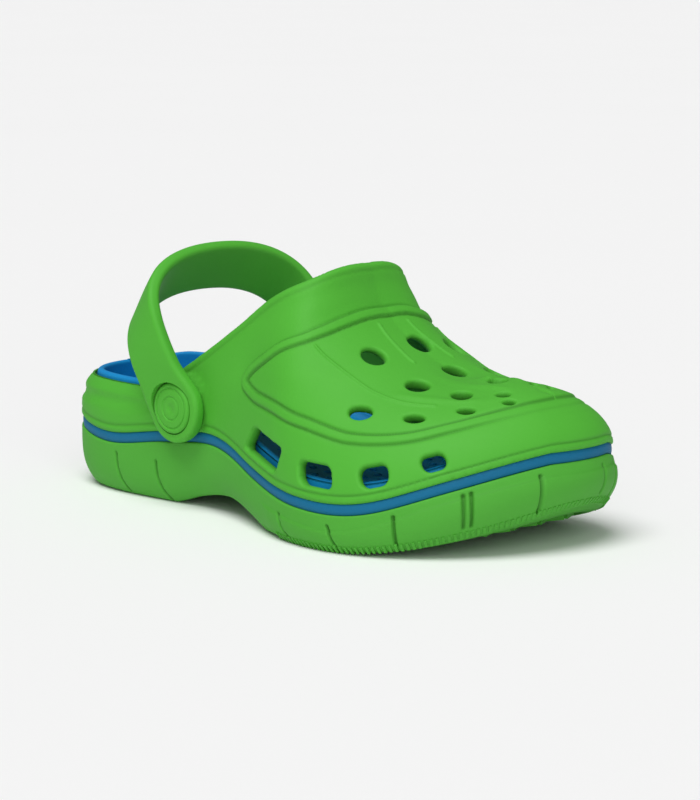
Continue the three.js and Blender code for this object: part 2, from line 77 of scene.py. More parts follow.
# Sizes below are in millimetres. +X is the toe, -Y the outer side of the foot.
MM = 0.001
LENGTH = 193.0
WIDTH = 87.0
INSTEP_HEIGHT = 79.0
COLLAR_HEIGHT = 35.5
FIT_GAP = 0.3
STRIPE_THICKNESS = 3.1
PIVOT = np.array([-0.15 * LENGTH, 31.7])
VAMP_CENTRE = 0.075 * WIDTH
DOME_ACROSS, DOME_UP = 2.08, 1.95  # roundness of the dome's sections; 2 is an ellipse
POST_HOLE = 3.3                   # radius
CAP_RECESS = 8.15                 # radius of the hollow that a rivet's cap sits in
TIP_PROUD = 1.6                   # how far a post's end stands out behind its pad
CAP_PROUD = 0.7                   # how far a rivet's cap stands out of its paddle
PADDLE_RADIUS = 10.8
PADDLE_THICKNESS = 4.0
BAND_HALF_WIDTH = 8.6             # of the strap, clear of its paddles

PLAN = np.array([
    [-0.51, 0.033], [-0.464, -0.259], [-0.312, -0.33], [-0.15, -0.293],
    [0.002, -0.359], [0.155, -0.52], [0.318, -0.506], [0.453, -0.253],
    [0.517, 0.116], [0.485, 0.433], [0.338, 0.523], [0.17, 0.47],
    [-0.007, 0.345], [-0.184, 0.33], [-0.348, 0.357], [-0.475, 0.285],
])


# ---- Curves ----------------------------------------------------------------


def smoothstep(low, high, value):
    t = np.clip((value - low) / (high - low), 0, 1)
    return t * t * (3 - 2 * t)


def swell(distance, width):
    """A soft hump that is 1 on a line and has gone at about twice the width."""
    return np.exp(-((distance / width) ** 2))


def curve_through(points):
    """Height against length, smooth through (share of the length, height) points."""
    xs, values = np.array(points, float).T
    xs = xs * LENGTH
    slopes = np.gradient(values, xs)

    def height(x):
        x = np.clip(x, xs[0], xs[-1])
        i = np.clip(np.searchsorted(xs, x) - 1, 0, len(xs) - 2)
        span = xs[i + 1] - xs[i]
        s = (x - xs[i]) / span
        start = (2 * s**3 - 3 * s**2 + 1) * values[i] + (s**3 - 2 * s**2 + s) * span * slopes[i]
        end = (3 * s**2 - 2 * s**3) * values[i + 1] + (s**3 - s**2) * span * slopes[i + 1]
        return start + end

    return height


def smooth_line(points, steps):
    """Points along a smooth line through the given ones."""
    p = np.array(points, float)
    p = np.vstack([p[:1], p, p[-1:]])
    f = np.arange(steps)[:, None] / steps
    parts = []
    for a, b, c, d in zip(p, p[1:], p[2:], p[3:]):
        rise, fall = (c - a) / 2, (d - b) / 2
        parts.append(((2 * b - 2 * c + rise + fall) * f + (3 * c - 3 * b - 2 * rise - fall)) * f * f
                     + rise * f + b)
    return np.vstack([*parts, p[-1:]])


def distance_to_line(points, line):
    """Distance of each point from a line of straight steps."""
    nearest = np.full(len(points), 1e9)
    for a, b in zip(line, line[1:]):
        step = b - a
        share = np.clip((points - a) @ step / max(step @ step, 1e-9), 0, 1)
        gap = points - a - share[:, None] * step
        nearest = np.minimum(nearest, (gap * gap).sum(1))
    return np.sqrt(nearest)


def inside_outline(points, outline):
    """Whether each (x, y) point is inside a closed outline."""
    inside = np.zeros(len(points), bool)
    x, y = points.T
    for (ax, ay), (bx, by) in zip(outline, np.roll(outline, -1, 0)):
        if ay != by:
            inside ^= ((ay > y) != (by > y)) & (x < (bx - ax) * (y - ay) / (by - ay) + ax)
    return inside


seam_height = curve_through([
    [-0.49, 21], [-0.337, 17.7], [-0.207, 20.9], [-0.078, 22.8], [0.052, 17],
    [0.181, 13.2], [0.31, 14.1], [0.415, 21.4], [0.49, 27.7],
])
ground_curve = curve_through([
    [-0.5, 7], [-0.466, 2.6], [-0.415, 0.3], [-0.373, 0], [-0.197, 0], [-0.135, 3.5], [-0.052, 5.5],
    [0.02, 2.5], [0.072, 0], [0.233, 0], [0.31, 0.9], [0.39, 3.8], [0.455, 8.4], [0.5, 13.4],
])
ridge_share = curve_through([
    [-0.337, 1.067], [-0.155, 1.065], [0, 1.054], [0.093, 1.004], [0.145, 0.819],
    [0.197, 0.699], [0.249, 0.623], [0.3, 0.587], [0.342, 0.608],
])
STRIPE_HALF = (STRIPE_THICKNESS + FIT_GAP) / 2


def ground_height(x):
    return np.maximum(0, ground_curve(x))


def ridge_x(x):
    return np.interp(x / LENGTH, [-0.503, -0.26, 0.26, 0.497], [-0.311, -0.218, 0.218, 0.332]) * LENGTH


def ridge_y(x):
    return np.interp(x / LENGTH, [-0.311, 0, 0.332], [0, 0.023, 0.08]) * WIDTH


def outsole_top(x):
    return seam_height(x) - STRIPE_HALF


def upper_base(x):
    return seam_height(x) + STRIPE_HALF


def throat_line():
    shares = np.array([
        [-0.26, 0], [-0.235, 0.028], [-0.18, 0.149], [-0.122, 0.31], [-0.083, 0.421],
        [0.004, 0.685], [0.052, 0.805], [0.088, 0.901], [0.109, 1.034],
    ])
    rise = COLLAR_HEIGHT + shares[:, 1] * (INSTEP_HEIGHT - COLLAR_HEIGHT)
    line = smooth_line(np.stack([shares[:, 0] * LENGTH, rise], 1), 6)
    return np.vstack([[-LENGTH, COLLAR_HEIGHT], line, line[-1] + [2.0, 30.0]])


THROAT = throat_line()


def below_throat(points):
    """Distance below the throat's edge in side view, negative where it is open."""
    side_view = points[:, [0, 2]]
    edge = np.interp(side_view[:, 0], THROAT[:, 0], THROAT[:, 1])
    under = (side_view[:, 1] < edge) | (side_view[:, 0] > THROAT[-1, 0])
    return np.where(under, 1, -1) * distance_to_line(side_view, THROAT)


# ---- Plan outline and the dome over it --------------------------------------


def plan_outline(count=3200):
    """The outline and the direction out of it, from the heel round the outer side."""
    t = np.arange(count) * len(PLAN) / count
    i = t.astype(int)
    f = t - i
    weights = [(1 - f) ** 3, 3 * f**3 - 6 * f**2 + 4, -3 * f**3 + 3 * f**2 + 3 * f + 1, f**3]
    points = sum(w[:, None] * PLAN[(i + k - 1) % len(PLAN)] for k, w in enumerate(weights)) / 6
    low, high = points.min(0), points.max(0)
    points = (points - (low + high) / 2) * [LENGTH, WIDTH] / (high - low)
    along = np.roll(points, -1, 0) - np.roll(points, 1, 0)
    along /= np.linalg.norm(along, axis=1)[:, None]
    return points, np.stack([along[:, 1], -along[:, 0]], 1)


def side_table(turn):
    """One side of the outline, from heel to toe, against its place from 0 to 1."""
    points, out = plan_outline()
    heel, toe = points[:, 0].argmin(), points[:, 0].argmax()
    steps = (turn * (toe - heel)) % len(points)
    order = (heel + turn * np.arange(steps + 1)) % len(points)
    side, out = points[order], out[order]
    middle, half = (side[0, 0] + side[-1, 0]) / 2, (side[-1, 0] - side[0, 0]) / 2
    place = np.arccos(np.clip((middle - side[:, 0]) / half, -1, 1)) / np.pi
    return np.maximum.accumulate(place), np.hstack([side, out])


SIDES = {-1: side_table(1), 1: side_table(-1)}


def edge_at(side, place, inset=0.0):
    """(x, y) on the outline and (x, y) of the way out there."""
    places, table = SIDES[side]
    x, y, out_x, out_y = (np.interp(place, places, column) for column in table.T)
    return x - inset * out_x, y - inset * out_y, out_x, out_y


def across_at(side, x, inset):
    """Where the inset outline crosses a place on the length."""
    edge_x, edge_y, _, _ = edge_at(side, np.linspace(0, 1, 400), inset)
    return float(np.interp(x, edge_x, edge_y))


def place_at(x):
    """Place from heel to toe whose outline point is at x."""
    return np.arccos(np.clip(-2 * np.asarray(x) / LENGTH, -1, 1)) / np.pi


def dome_point(x, y, angle, inset=0.0):
    ridge = ridge_x(x)
    middle = ridge_y(ridge)
    across = np.maximum(np.cos(angle), 0) ** (2 / DOME_ACROSS)
    up = np.maximum(np.sin(angle), 0) ** (2 / DOME_UP)
    base = upper_base(x)
    height = base + (ridge_share(ridge) * INSTEP_HEIGHT - inset - base) * up
    return np.stack([ridge + (x - ridge) * across, middle + (y - middle) * across, height], -1)


def wall_point(side, place, inset, height):
    """A point of the dome's wall at a height given as a function of x."""
    x, y, _, _ = edge_at(side, place, inset)
    base = upper_base(x)
    top = ridge_share(ridge_x(x)) * INSTEP_HEIGHT - inset
    share = np.clip((height(x) - base) / (top - base), 0, 1)
    return dome_point(x, y, np.arcsin(share ** (DOME_UP / 2)), inset)


def shell_point(places):
    """Point of the shell's outer face: (heel to toe, -1 outer base to 0 ridge to 1 inner base)."""
    place, over = places.T
    outer, inner = edge_at(-1, place), edge_at(1, place)
    x = np.where(over < 0, outer[0], inner[0])
    y = np.where(over < 0, outer[1], inner[1])
    return dome_point(x, y, (1 - np.abs(over)) * np.pi / 2)


# ---- Meshes -----------------------------------------------------------------


def make_piece(name, points, faces, body, material, replaces=(), painted_shade=None, sharp=None):
    """A finished piece from millimetre points, riding on its body."""
    mesh = bpy.data.meshes.new(name)
    mesh.from_pydata((np.asarray(points) * MM).tolist(), [], [list(map(int, f)) for f in faces])
    mesh.validate()
    mesh.polygons.foreach_set("use_smooth", np.ones(len(mesh.polygons), bool))
    if sharp is not None:
        mesh.set_sharp_from_angle(angle=math.radians(sharp))
    # The per-point amount of painted shade, stored as an attribute that the foam finish darkens the colour
    # by.
    if painted_shade is not None:
        layer = mesh.attributes.new("painted_shade", "FLOAT", "POINT")
        layer.data.foreach_set("value", np.asarray(painted_shade, np.float32))
    piece = bpy.data.objects.new(name, mesh)
    bpy.context.scene.collection.objects.link(piece)
    finish_piece(piece, body, material, replaces)
    return piece


def finish_piece(piece, body, material, replaces=()):
    piece.data.materials.clear()
    piece.data.materials.append(material)
    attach(piece, body)
    if replaces:
        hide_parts(*replaces)


def weld(points, faces, values=None):
    """Shares points that coincide and drops faces that close up."""
    keys = np.round(points * 2000).astype(np.int64)
    _, first, index = np.unique(keys, axis=0, return_index=True, return_inverse=True)
    index = index.reshape(-1)
    kept = []
    for face in index[np.asarray(faces)]:
        corners = [c for c, before in zip(face, np.roll(face, 1)) if c != before]
        if len(set(corners)) > 2 and len(set(corners)) == len(corners):
            kept.append(corners)
    return points[first], kept, None if values is None else values[first]


def outward(points, faces):
    """The faces, turned over if the closed skin is inside out."""
    volume = 0.0
    for face in faces:
        a = points[face[0]]
        for b, c in zip(face[1:], face[2:]):
            volume += a @ np.cross(points[b], points[c])
    return faces if volume > 0 else [face[::-1] for face in faces]


def loop_skin(loops, values=None):
    """Closed skin over closed loops that stand one behind another, heel to toe."""
    rows, count = loops.shape[:2]
    a = np.arange((rows - 1) * count).reshape(rows - 1, count)
    b = np.roll(a, -1, 1)
    faces = np.stack([a, b, b + count, a + count], -1).reshape(-1, 4)
    flat = None if values is None else values.reshape(-1)
    points, faces, flat = weld(loops.reshape(-1, 3), faces, flat)
    return points, outward(points, faces), flat


def across(left, right, steps):
    """Points on straight lines from one row of points to another, ends left out."""
    share = np.arange(1, steps)[:, None, None] / steps
    return left + (right - left) * share


def round_over(distance, radius):
    """How far a surface drops near an edge rounded to a radius."""
    reach = np.clip(radius - distance, 0, radius)
    return radius - np.sqrt(radius**2 - reach**2)


def turned(profile, side, steps=72):
    """Skin turned about the strap's pivot from (radius, distance from the middle) points."""
    profile = np.array(profile, float)
    angle = np.arange(steps + 1) * 2 * np.pi / steps
    radius, away = profile[:, 0], profile[:, 1]
    x = PIVOT[0] + np.outer(np.cos(angle), radius)
    z = PIVOT[1] + np.outer(np.sin(angle), radius)
    loops = np.stack([x, np.broadcast_to(side * away, x.shape), z], -1)
    count = len(profile)
    a = (np.arange(steps)[:, None] * count + np.arange(count - 1)).reshape(-1)
    faces = np.stack([a, a + 1, a + 1 + count, a + count], -1)
    points, faces, _ = weld(loops.reshape(-1, 3), faces)
    return points, outward(points, faces)


# ---- Repeats, made with geometry nodes ---------------------------------------


def repeat_tree(name, shape, shape_values, size, smooth):
    """Puts a small solid on every point of the mesh, turned by the point's own direction."""
    tree = bpy.data.node_groups.new(name, "GeometryNodeTree")
    tree.interface.new_socket("Places", in_out="INPUT", socket_type="NodeSocketGeometry")
    size_input = tree.interface.new_socket("Size", in_out="INPUT", socket_type="NodeSocketVector")
    size_input.default_value = size
    finish_input = tree.interface.new_socket("Finish", in_out="INPUT", socket_type="NodeSocketMaterial")
    tree.interface.new_socket("Pieces", in_out="OUTPUT", socket_type="NodeSocketGeometry")
    nodes, link = tree.nodes, tree.links.new
    given, made = nodes.new("NodeGroupInput"), nodes.new("NodeGroupOutput")
    solid = nodes.new(shape)
    for title, value in shape_values.items():
        solid.inputs[title].default_value = value
    facing = nodes.new("GeometryNodeInputNamedAttribute")
    facing.data_type = "FLOAT_VECTOR"
    facing.inputs["Name"].default_value = "facing"
    align = nodes.new("FunctionNodeAlignRotationToVector")
    align.axis = "Z"
    along = nodes.new("GeometryNodeInputNamedAttribute")
    along.data_type = "FLOAT_VECTOR"
    along.inputs["Name"].default_value = "along"
    turn = nodes.new("FunctionNodeAlignRotationToVector")
    turn.axis = "X"
    turn.pivot_axis = "Z"
    place = nodes.new("GeometryNodeInstanceOnPoints")
    vary = nodes.new("FunctionNodeRandomValue")
    vary.inputs["Seed"].default_value = 7
    vary.inputs[2].default_value = 0.96
    vary.inputs[3].default_value = 1.04
    varied = nodes.new("ShaderNodeVectorMath")
    varied.operation = "SCALE"
    real = nodes.new("GeometryNodeRealizeInstances")
    shading = nodes.new("GeometryNodeSetShadeSmooth")
    shading.inputs["Shade Smooth"].default_value = smooth
    coat = nodes.new("GeometryNodeSetMaterial")
    link(given.outputs["Size"], varied.inputs[0])
    link(vary.outputs[1], varied.inputs["Scale"])
    link(facing.outputs["Attribute"], align.inputs["Vector"])
    link(align.outputs["Rotation"], turn.inputs["Rotation"])
    link(along.outputs["Attribute"], turn.inputs["Vector"])
    link(given.outputs["Places"], place.inputs["Points"])
    link(solid.outputs["Mesh"], place.inputs["Instance"])
    link(turn.outputs["Rotation"], place.inputs["Rotation"])
    link(varied.outputs["Vector"], place.inputs["Scale"])
    link(place.outputs["Instances"], real.inputs["Geometry"])
    link(real.outputs["Geometry"], shading.inputs["Geometry"])
    link(shading.outputs["Geometry"], coat.inputs["Geometry"])
    link(given.outputs["Finish"], coat.inputs["Material"])
    link(coat.outputs["Geometry"], made.inputs["Pieces"])
    return tree, size_input.identifier, finish_input.identifier


def repeated(name, shape, shape_values, places, facing, along, size, body, material, smooth=True):
    """One mesh of a small solid repeated over places, in millimetres."""
    mesh = bpy.data.meshes.new(name)
    mesh.from_pydata((np.asarray(places) * MM).tolist(), [], [])
    for title, vectors in (("facing", facing), ("along", along)):
        layer = mesh.attributes.new(title, "FLOAT_VECTOR", "POINT")
        layer.data.foreach_set("vector", np.asarray(vectors, np.float32).reshape(-1))
    holder = bpy.data.objects.new(name + "_places", mesh)
    bpy.context.scene.collection.objects.link(holder)
    size = [value * MM for value in size]
    tree, size_input, finish_input = repeat_tree(name + "_tree", shape, shape_values, size, smooth)
    modifier = holder.modifiers.new("repeat", "NODES")
    modifier.node_group = tree
    modifier[size_input] = size
    modifier[finish_input] = material
    graph = bpy.context.evaluated_depsgraph_get()
    result = bpy.data.meshes.new_from_object(holder.evaluated_get(graph))
    holder.modifiers.remove(modifier)
    bpy.data.objects.remove(holder)
    piece = bpy.data.objects.new(name, result)
    bpy.context.scene.collection.objects.link(piece)
    finish_piece(piece, body, material)
    return piece


# ---- Finishes ---------------------------------------------------------------


class Quantity:
    """A shader output that ordinary sums can be written with."""

    def __init__(self, finish, socket):
        self.finish, self.socket = finish, socket

    def _with(self, operation, first, second):
        return self.finish.node("ShaderNodeMath", {0: first, 1: second}, operation=operation)

    def __add__(self, other):
        return self._with("ADD", self, other)

    def __sub__(self, other):
        return self._with("SUBTRACT", self, other)

    def __rsub__(self, other):
        return self._with("SUBTRACT", other, self)

    def __mul__(self, other):
        return self._with("MULTIPLY", self, other)

    __radd__ = __add__
    __rmul__ = __mul__


class Finish:
    """One material under construction."""

    def __init__(self, name):
        self.material = bpy.data.materials.new(name)
        self.material.use_nodes = True
        self.tree = self.material.node_tree
        self.tree.nodes.clear()

    def node(self, kind, values=None, output=0, **settings):
        made = self.tree.nodes.new(kind)
        for setting, value in settings.items():
            setattr(made, setting, value)
        for key, value in (values or {}).items():
            if isinstance(value, Quantity):
                self.tree.links.new(value.socket, made.inputs[key])
            else:
                made.inputs[key].default_value = value
        return Quantity(self, made.outputs[output])

    def mix(self, share, first, second):
        values = {0: share, 6: first, 7: second}
        return self.node("ShaderNodeMix", values, output=2, data_type="RGBA")

    def noise(self, place, scale, detail=3.0, roughness=0.5):
        values = {"Vector": place, "Scale": scale, "Detail": detail, "Roughness": roughness}
        return self.node("ShaderNodeTexNoise", values)

    def close(self, shader):
        end = self.tree.nodes.new("ShaderNodeOutputMaterial")
        self.tree.links.new(shader.socket, end.inputs["Surface"])
        return self.material


def foam(name, colour, deep, roughness, grain):
    """Moulded closed-cell foam: a faint skin grain, cloudy colour, and painted shade that darkens its
    creases.
    """
    look = Finish(name)
    place = look.node("ShaderNodeTexCoord", output="Object")
    cloud = look.noise(place, 45.0, 4.0)
    skin = look.noise(place, 900.0, 5.0, 0.6)
    cells = look.node("ShaderNodeTexVoronoi", {"Vector": place, "Scale": 1700.0})
    streak = look.noise(look.node("ShaderNodeMapping", {"Vector": place, "Scale": (30, 90, 240)}), 1.0, 4.0)
    painted_shade = look.node("ShaderNodeAttribute", output="Fac", attribute_name="painted_shade")
    shade = look.node("ShaderNodeClamp", {"Value": 0.12 + 0.5 * cloud + 0.25 * streak - 0.12 * skin})
    tone = look.mix(shade, (*deep, 1), (*colour, 1))
    # Painted shade: a darker copy of the deep tone, mixed in where points are marked for shade.
    painted_shade_colour = tuple(0.5 * part for part in deep)
    base = look.mix(look.node("ShaderNodeClamp", {"Value": 0.75 * painted_shade}), tone, (*painted_shade_colour, 1))
    polish = look.node("ShaderNodeClamp", {"Value": roughness - 0.07 + 0.16 * cloud + 0.08 * skin})
    height = 0.6 * skin + 0.25 * cells + 0.8 * look.noise(place, 260.0, 3.0)
    bump = look.node("ShaderNodeBump", {"Strength": grain, "Distance": 0.00016, "Height": height})
    values = {"Base Color": base, "Roughness": polish, "Normal": bump, "Specular IOR Level": 0.3}
    return look.close(look.node("ShaderNodeBsdfPrincipled", values))


# ---- Settings ---------------------------------------------------------------


def length_setting(title, words, value):
    return bpy.props.FloatProperty(name=title, description=words, default=value * MM,
                                   min=0.0, unit="LENGTH", subtype="DISTANCE", precision=5)


def colour_setting(title, words, value):
    return bpy.props.FloatVectorProperty(name=title, description=words, default=value,
                                         size=3, min=0.0, max=1.0, subtype="COLOR")


class ClogSizes(bpy.types.PropertyGroup):
    """Sizes that a maker would change."""

    wall: length_setting("Shell wall", "Thickness of the shell", 4.0)
    rim_round: length_setting("Rim rounding", "Radius of the throat's edge", 1.7)
    vent_round: length_setting("Vent rounding", "Radius of the edge of every vent", 1.0)
    stripe_recess: length_setting("Stripe recess", "How far the midsole edge sits in", 0.4)
    collar_dip: length_setting("Collar dip", "How far the collar sinks in beside the panel's frame", 0.9)
    frame_proud: length_setting("Frame height", "How far the panel's frame stands above the vamp", 0.55)
    tooth_pitch: length_setting("Tooth pitch", "Spacing of the teeth on the tread's edge", 1.7)
    lug_pitch: length_setting("Lug pitch", "Spacing of the tread's bars", 9.0)
    nub_pitch: length_setting("Nub pitch", "Spacing of the footbed's nubs", 6.0)
    strap_thickness: length_setting("Strap thickness", "Thickness of the heel strap", 4.0)


class ClogColours(bpy.types.PropertyGroup):
    """Colours of the foam pieces and of the stage."""

    shell: colour_setting("Shell", "Foam of the shell, strap and rivets", (0.08, 0.425, 0.034))
    shell_deep: colour_setting("Shell, deep", "Darker tone of the same foam", (0.064, 0.375, 0.024))
    sole: colour_setting("Outsole", "Foam of the outsole", (0.08, 0.4, 0.038))
    sole_deep: colour_setting("Outsole, deep", "Darker tone of the same foam", (0.064, 0.35, 0.028))
    bed: colour_setting("Footbed", "Foam of the footbed", (0.0, 0.25, 0.58))
    bed_deep: colour_setting("Footbed, deep", "Darker tone of the same foam", (0.0, 0.21, 0.5))
    stripe: colour_setting("Midsole", "Foam of the midsole", (0.0, 0.15, 0.3))
    stripe_deep: colour_setting("Midsole, deep", "Darker tone of the same foam", (0.0, 0.127, 0.26))
    floor: colour_setting("Floor", "Floor under the clog", (0.92, 0.92, 0.92))


def finish_of(slot):
    """The material of a slot, made when it is first asked for."""
    found = bpy.data.materials.get("foam_" + slot)
    if found:
        return found
    colours = bpy.context.scene.clog_colours
    recipe = {
        "upper_green": (colours.shell, colours.shell_deep, 0.6, 0.3),
        "strap_green": (colours.shell, colours.shell_deep, 0.58, 0.26),
        "rivet_green": (colours.shell, colours.shell_deep, 0.56, 0.22),
        "outsole_green": (colours.sole, colours.sole_deep, 0.64, 0.38),
        "midsole_blue": (colours.stripe, colours.stripe_deep, 0.62, 0.3),
        "footbed_blue": (colours.bed, colours.bed_deep, 0.62, 0.34),
    }[slot]
    return foam("foam_" + slot, tuple(recipe[0]), tuple(recipe[1]), recipe[2], recipe[3])


def rivet_spans():
    """Faces of the pads and the paddles on each side, read from the rivets' CAD solids."""
    spans = {}
    for side, word in ((-1, "lateral"), (1, "medial")):
        low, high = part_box("rivet_cap_" + word)
        near, far = sorted((abs(low.y) / MM, abs(high.y) / MM))
        paddle_outer = far - CAP_PROUD
        paddle_inner = paddle_outer - PADDLE_THICKNESS
        spans[side] = {"tip": near, "cap": far, "pad_back": near + TIP_PROUD,
                       "paddle_outer": paddle_outer, "paddle_inner": paddle_inner,
                       "pad_face": paddle_inner - FIT_GAP}
    return spans


# ---- Shell ------------------------------------------------------------------

ROUND_VENTS = [                   # share of the length, share of the way to the edge, length, height
    (0.2, 0, 7.4, 7.4), (0.27, 0, 7, 7), (0.357, 0, 5.8, 5.8),
    (0.204, 0.411, 7.4, 7.4), (0.286, 0.393, 7, 6.4), (0.351, 0.328, 5.8, 5.2), (0.4, 0.198, 4, 2.6),
    (0.254, 0.747, 7, 4.8), (0.333, 0.682, 6, 3.1), (0.384, 0.513, 5, 2.8), (0.42, 0.288, 3.4, 2.2),
]
SIDE_VENTS = [                    # ends of the lower and upper edges on the length, height, rounding
    ((0.028, 0.126), (0.052, 0.137), 6.8, 1.4), ((0.194, 0.255), (0.188, 0.247), 6, 2),
    ((0.309, 0.343), (0.301, 0.338), 5.2, 2.2), ((0.39, 0.411), (0.384, 0.406), 3.6, 1.7),
]
INNER_FIRST_VENT = ((0.064, 0.128), (0.088, 0.136), 6.4, 1.5)  # shorter than the outer side's
PANEL_EDGE = [                    # the vamp panel's border on the outer side, collar to toe
    (27.6, 10.0, 66.2), (28.1, -4.2, 65.7), (27.6, -14.4, 64.1), (25.4, -22.5, 61.5), (20.6, -27.6, 58.7),
    (12.5, -29.8, 54.1), (4.4, -29.9, 49.2), (0.4, -29.6, 44.9), (0.2, -30.3, 41.8), (4.0, -31.8, 39.8),
    (12.3, -34.7, 38.1), (24.2, -38.1, 35.9), (35.4, -39.1, 34.0), (46.0, -38.1, 32.3), (56.0, -35.4, 31.6),
    (68.4, -28.7, 33.1), (76.5, -19.6, 36.0), (83.0, -9.0, 38.8), (87.9, 6.0, 41.2),
]
FINE_LINES = [                    # thin raised lines across the panel
    [(27.2, -26.7, 56.8), (35.4, -25.5, 50.9), (46.1, -24, 45.3), (57.8, -21.7, 42.3), (66.1, -17.0, 42.1)],
    [(30.9, -2.9, 61.8), (40.4, -3.7, 53.8), (45.7, -3.9, 50.7)],
]
FLUTES = [                        # soft ribs between the rows of vents: shares of length and width
    [(0.26, 0.115), (0.31, 0.1), (0.36, 0.07), (0.4, 0.04), (0.435, 0.012)],
    [(0.28, 0.31), (0.32, 0.265), (0.36, 0.2), (0.4, 0.13), (0.435, 0.06)],
]
STRIP_WIDTH = 2.9                 # width of the frame round the panel


class ShellForm:
    """Distances from the shell's features, and the relief they give its outer face."""

    def __init__(self, sizes):
        self.sizes = sizes
        self.spans = rivet_spans()
        place, over = np.meshgrid(np.linspace(0.02, 1, 380), np.linspace(-0.98, 0, 190), indexing="ij")
        self.chart = np.stack([place.ravel(), over.ravel()], 1)
        self.chart_points = shell_point(self.chart)
        self.vents = [self.round_vent(*vent, side) for vent in ROUND_VENTS for side in (-1, 1)[vent[1] == 0:]]
        self.side_vents = [self.side_vent(-1, *vent) for vent in SIDE_VENTS]
        self.side_vents += [self.side_vent(1, *vent) for vent in (INNER_FIRST_VENT, *SIDE_VENTS[1:])]
        border = self.on_chart(PANEL_EDGE)
        border[0, 1], border[-1, 0] = 0.0, 1.0
        self.panel = np.abs(smooth_line(border, 12))
        self.panel[:, 0] = np.minimum(self.panel[:, 0], 1)
        self.panel_lines = self.both_sides(self.panel)
        self.fine = [line for points in FINE_LINES
                     for line in self.both_sides(np.abs(smooth_line(self.on_chart(points), 6)))]
        self.flutes = []
        for shares in FLUTES:
            for side in (-1, 1):
                plan = np.array([(x * LENGTH, VAMP_CENTRE + side * y * WIDTH) for x, y in shares])
                self.flutes.append(smooth_line([self.over_plan(p)[0] for p in plan], 4))

    def on_chart(self, points):
        return np.array([self.chart[((self.chart_points - p) ** 2).sum(1).argmin()] for p in points])

    def both_sides(self, line):
        return [shell_point(line * [1, side]) for side in (-1, 1)]

    def over_plan(self, spot):
        """Point and normal of the shell above a place in the plan."""
        found = None
        for side in (-1, 1):
            chart = self.chart * [1, -side]
            points = shell_point(chart) if side > 0 else self.chart_points
            chart = self.chart * [1, -1] if side > 0 else self.chart
            k = np.hypot(*(points[:, :2] - spot).T).argmin()
            miss = np.hypot(*(points[k, :2] - spot))
            if found is None or miss < found[0]:
                found = (miss, chart[k])
        spot = found[1]
        steps = np.array([[0, 0], [0.002, 0], [-0.002, 0], [0, 0.004], [0, -0.004]])
        near = shell_point(np.clip(spot + steps, [0, -1], [1, 1]))
        normal = np.cross(near[1] - near[2], near[3] - near[4])
        normal *= np.sign(normal[2]) / np.linalg.norm(normal)
        return near[0], normal

    def round_vent(self, share, off, length, height, side):
        x = share * LENGTH
        edge = edge_at(side, place_at(x))[1]
        centre, normal = self.over_plan(np.array([x, VAMP_CENTRE + (edge - VAMP_CENTRE) * off]))
        down = np.array([0, 0, -1.0]) + normal * normal[2]
        down /= np.linalg.norm(down)
        return centre, normal, down, length / 2, height / length

    def side_vent(self, side, lower, upper, height, rounding):
        middle = sum(lower) / 2 * LENGTH
        x, y, out_x, out_y = edge_at(side, place_at(middle))
        forward = np.array([abs(out_y), -out_x * np.sign(out_y)])

        def run(share):
            return (share * LENGTH - middle) / abs(out_y)

        low = [seam_height(share * LENGTH) + 6 for share in lower]
        corners = np.array([(run(lower[0]), low[0]), (run(lower[1]), low[1]),
                            (run(upper[1]), low[1] + height), (run(upper[0]), low[0] + height)])
        return side, np.array([x, y]), forward, corners, rounding

    def vent_distance(self, points):
        nearest = np.full(len(points), 50.0)
        for centre, normal, down, radius, squash in self.vents:
            gap = points - centre
            deep, fall = gap @ normal, gap @ down
            level = (gap * gap).sum(1) - deep**2 - fall**2
            apart = np.sqrt(np.maximum(level + (fall / squash) ** 2, 0)) - radius
            slope = 1 + (1 / squash - 1) * np.abs(fall) / np.sqrt(level + fall**2 + 1e-6)
            nearest = np.minimum(nearest, np.where(np.abs(deep) < 12, apart / slope, 50))
        for side, foot, forward, corners, rounding in self.side_vents:
            spot = np.stack([(points[:, :2] - foot) @ forward, points[:, 2]], 1)
            outside, total = np.full(len(points), -50.0), np.zeros(len(points))
            for a, b in zip(corners, np.roll(corners, -1, 0)):
                along = (b - a) / np.linalg.norm(b - a)
                gap = (spot - a) @ np.array([along[1], -along[0]]) + rounding
                outside = np.maximum(outside, gap)
                total += np.maximum(gap, 0) ** 2
            apart = np.minimum(outside, 0) + np.sqrt(total) - rounding - 0.4
            nearest = np.minimum(nearest, np.where(points[:, 1] * side > 8, apart, 50))
        return nearest

    def post_distance(self, points):
        return np.hypot(points[:, 0] - PIVOT[0], points[:, 2] - PIVOT[1]) - POST_HOLE

    def panel_distance(self, places, points):
        """Distance from the panel's border, positive on the panel."""
        outline = np.vstack([self.panel, [[1, 0]], [[self.panel[0, 0], 0]]])
        sign = np.where(inside_outline(np.abs(places), outline), 1, -1)
        return sign * np.minimum(*(distance_to_line(points, line) for line in self.panel_lines))

    def measure(self, places):
        points = shell_point(places)
        return {
            "points": points,
            "throat": below_throat(points),
            "vent": self.vent_distance(points),
            "post": self.post_distance(points),
            "panel": self.panel_distance(places, points),
            "fine": np.minimum.reduce([distance_to_line(points, line) for line in self.fine]),
            "flute": np.minimum.reduce([distance_to_line(points, line) for line in self.flutes]),
            "base": points[:, 2] - upper_base(points[:, 0]),
        }

    def field(self, at):
        """Positive where the shell is, in millimetres from the nearest opening."""
        return np.minimum.reduce([at["throat"], at["vent"], at["post"]])

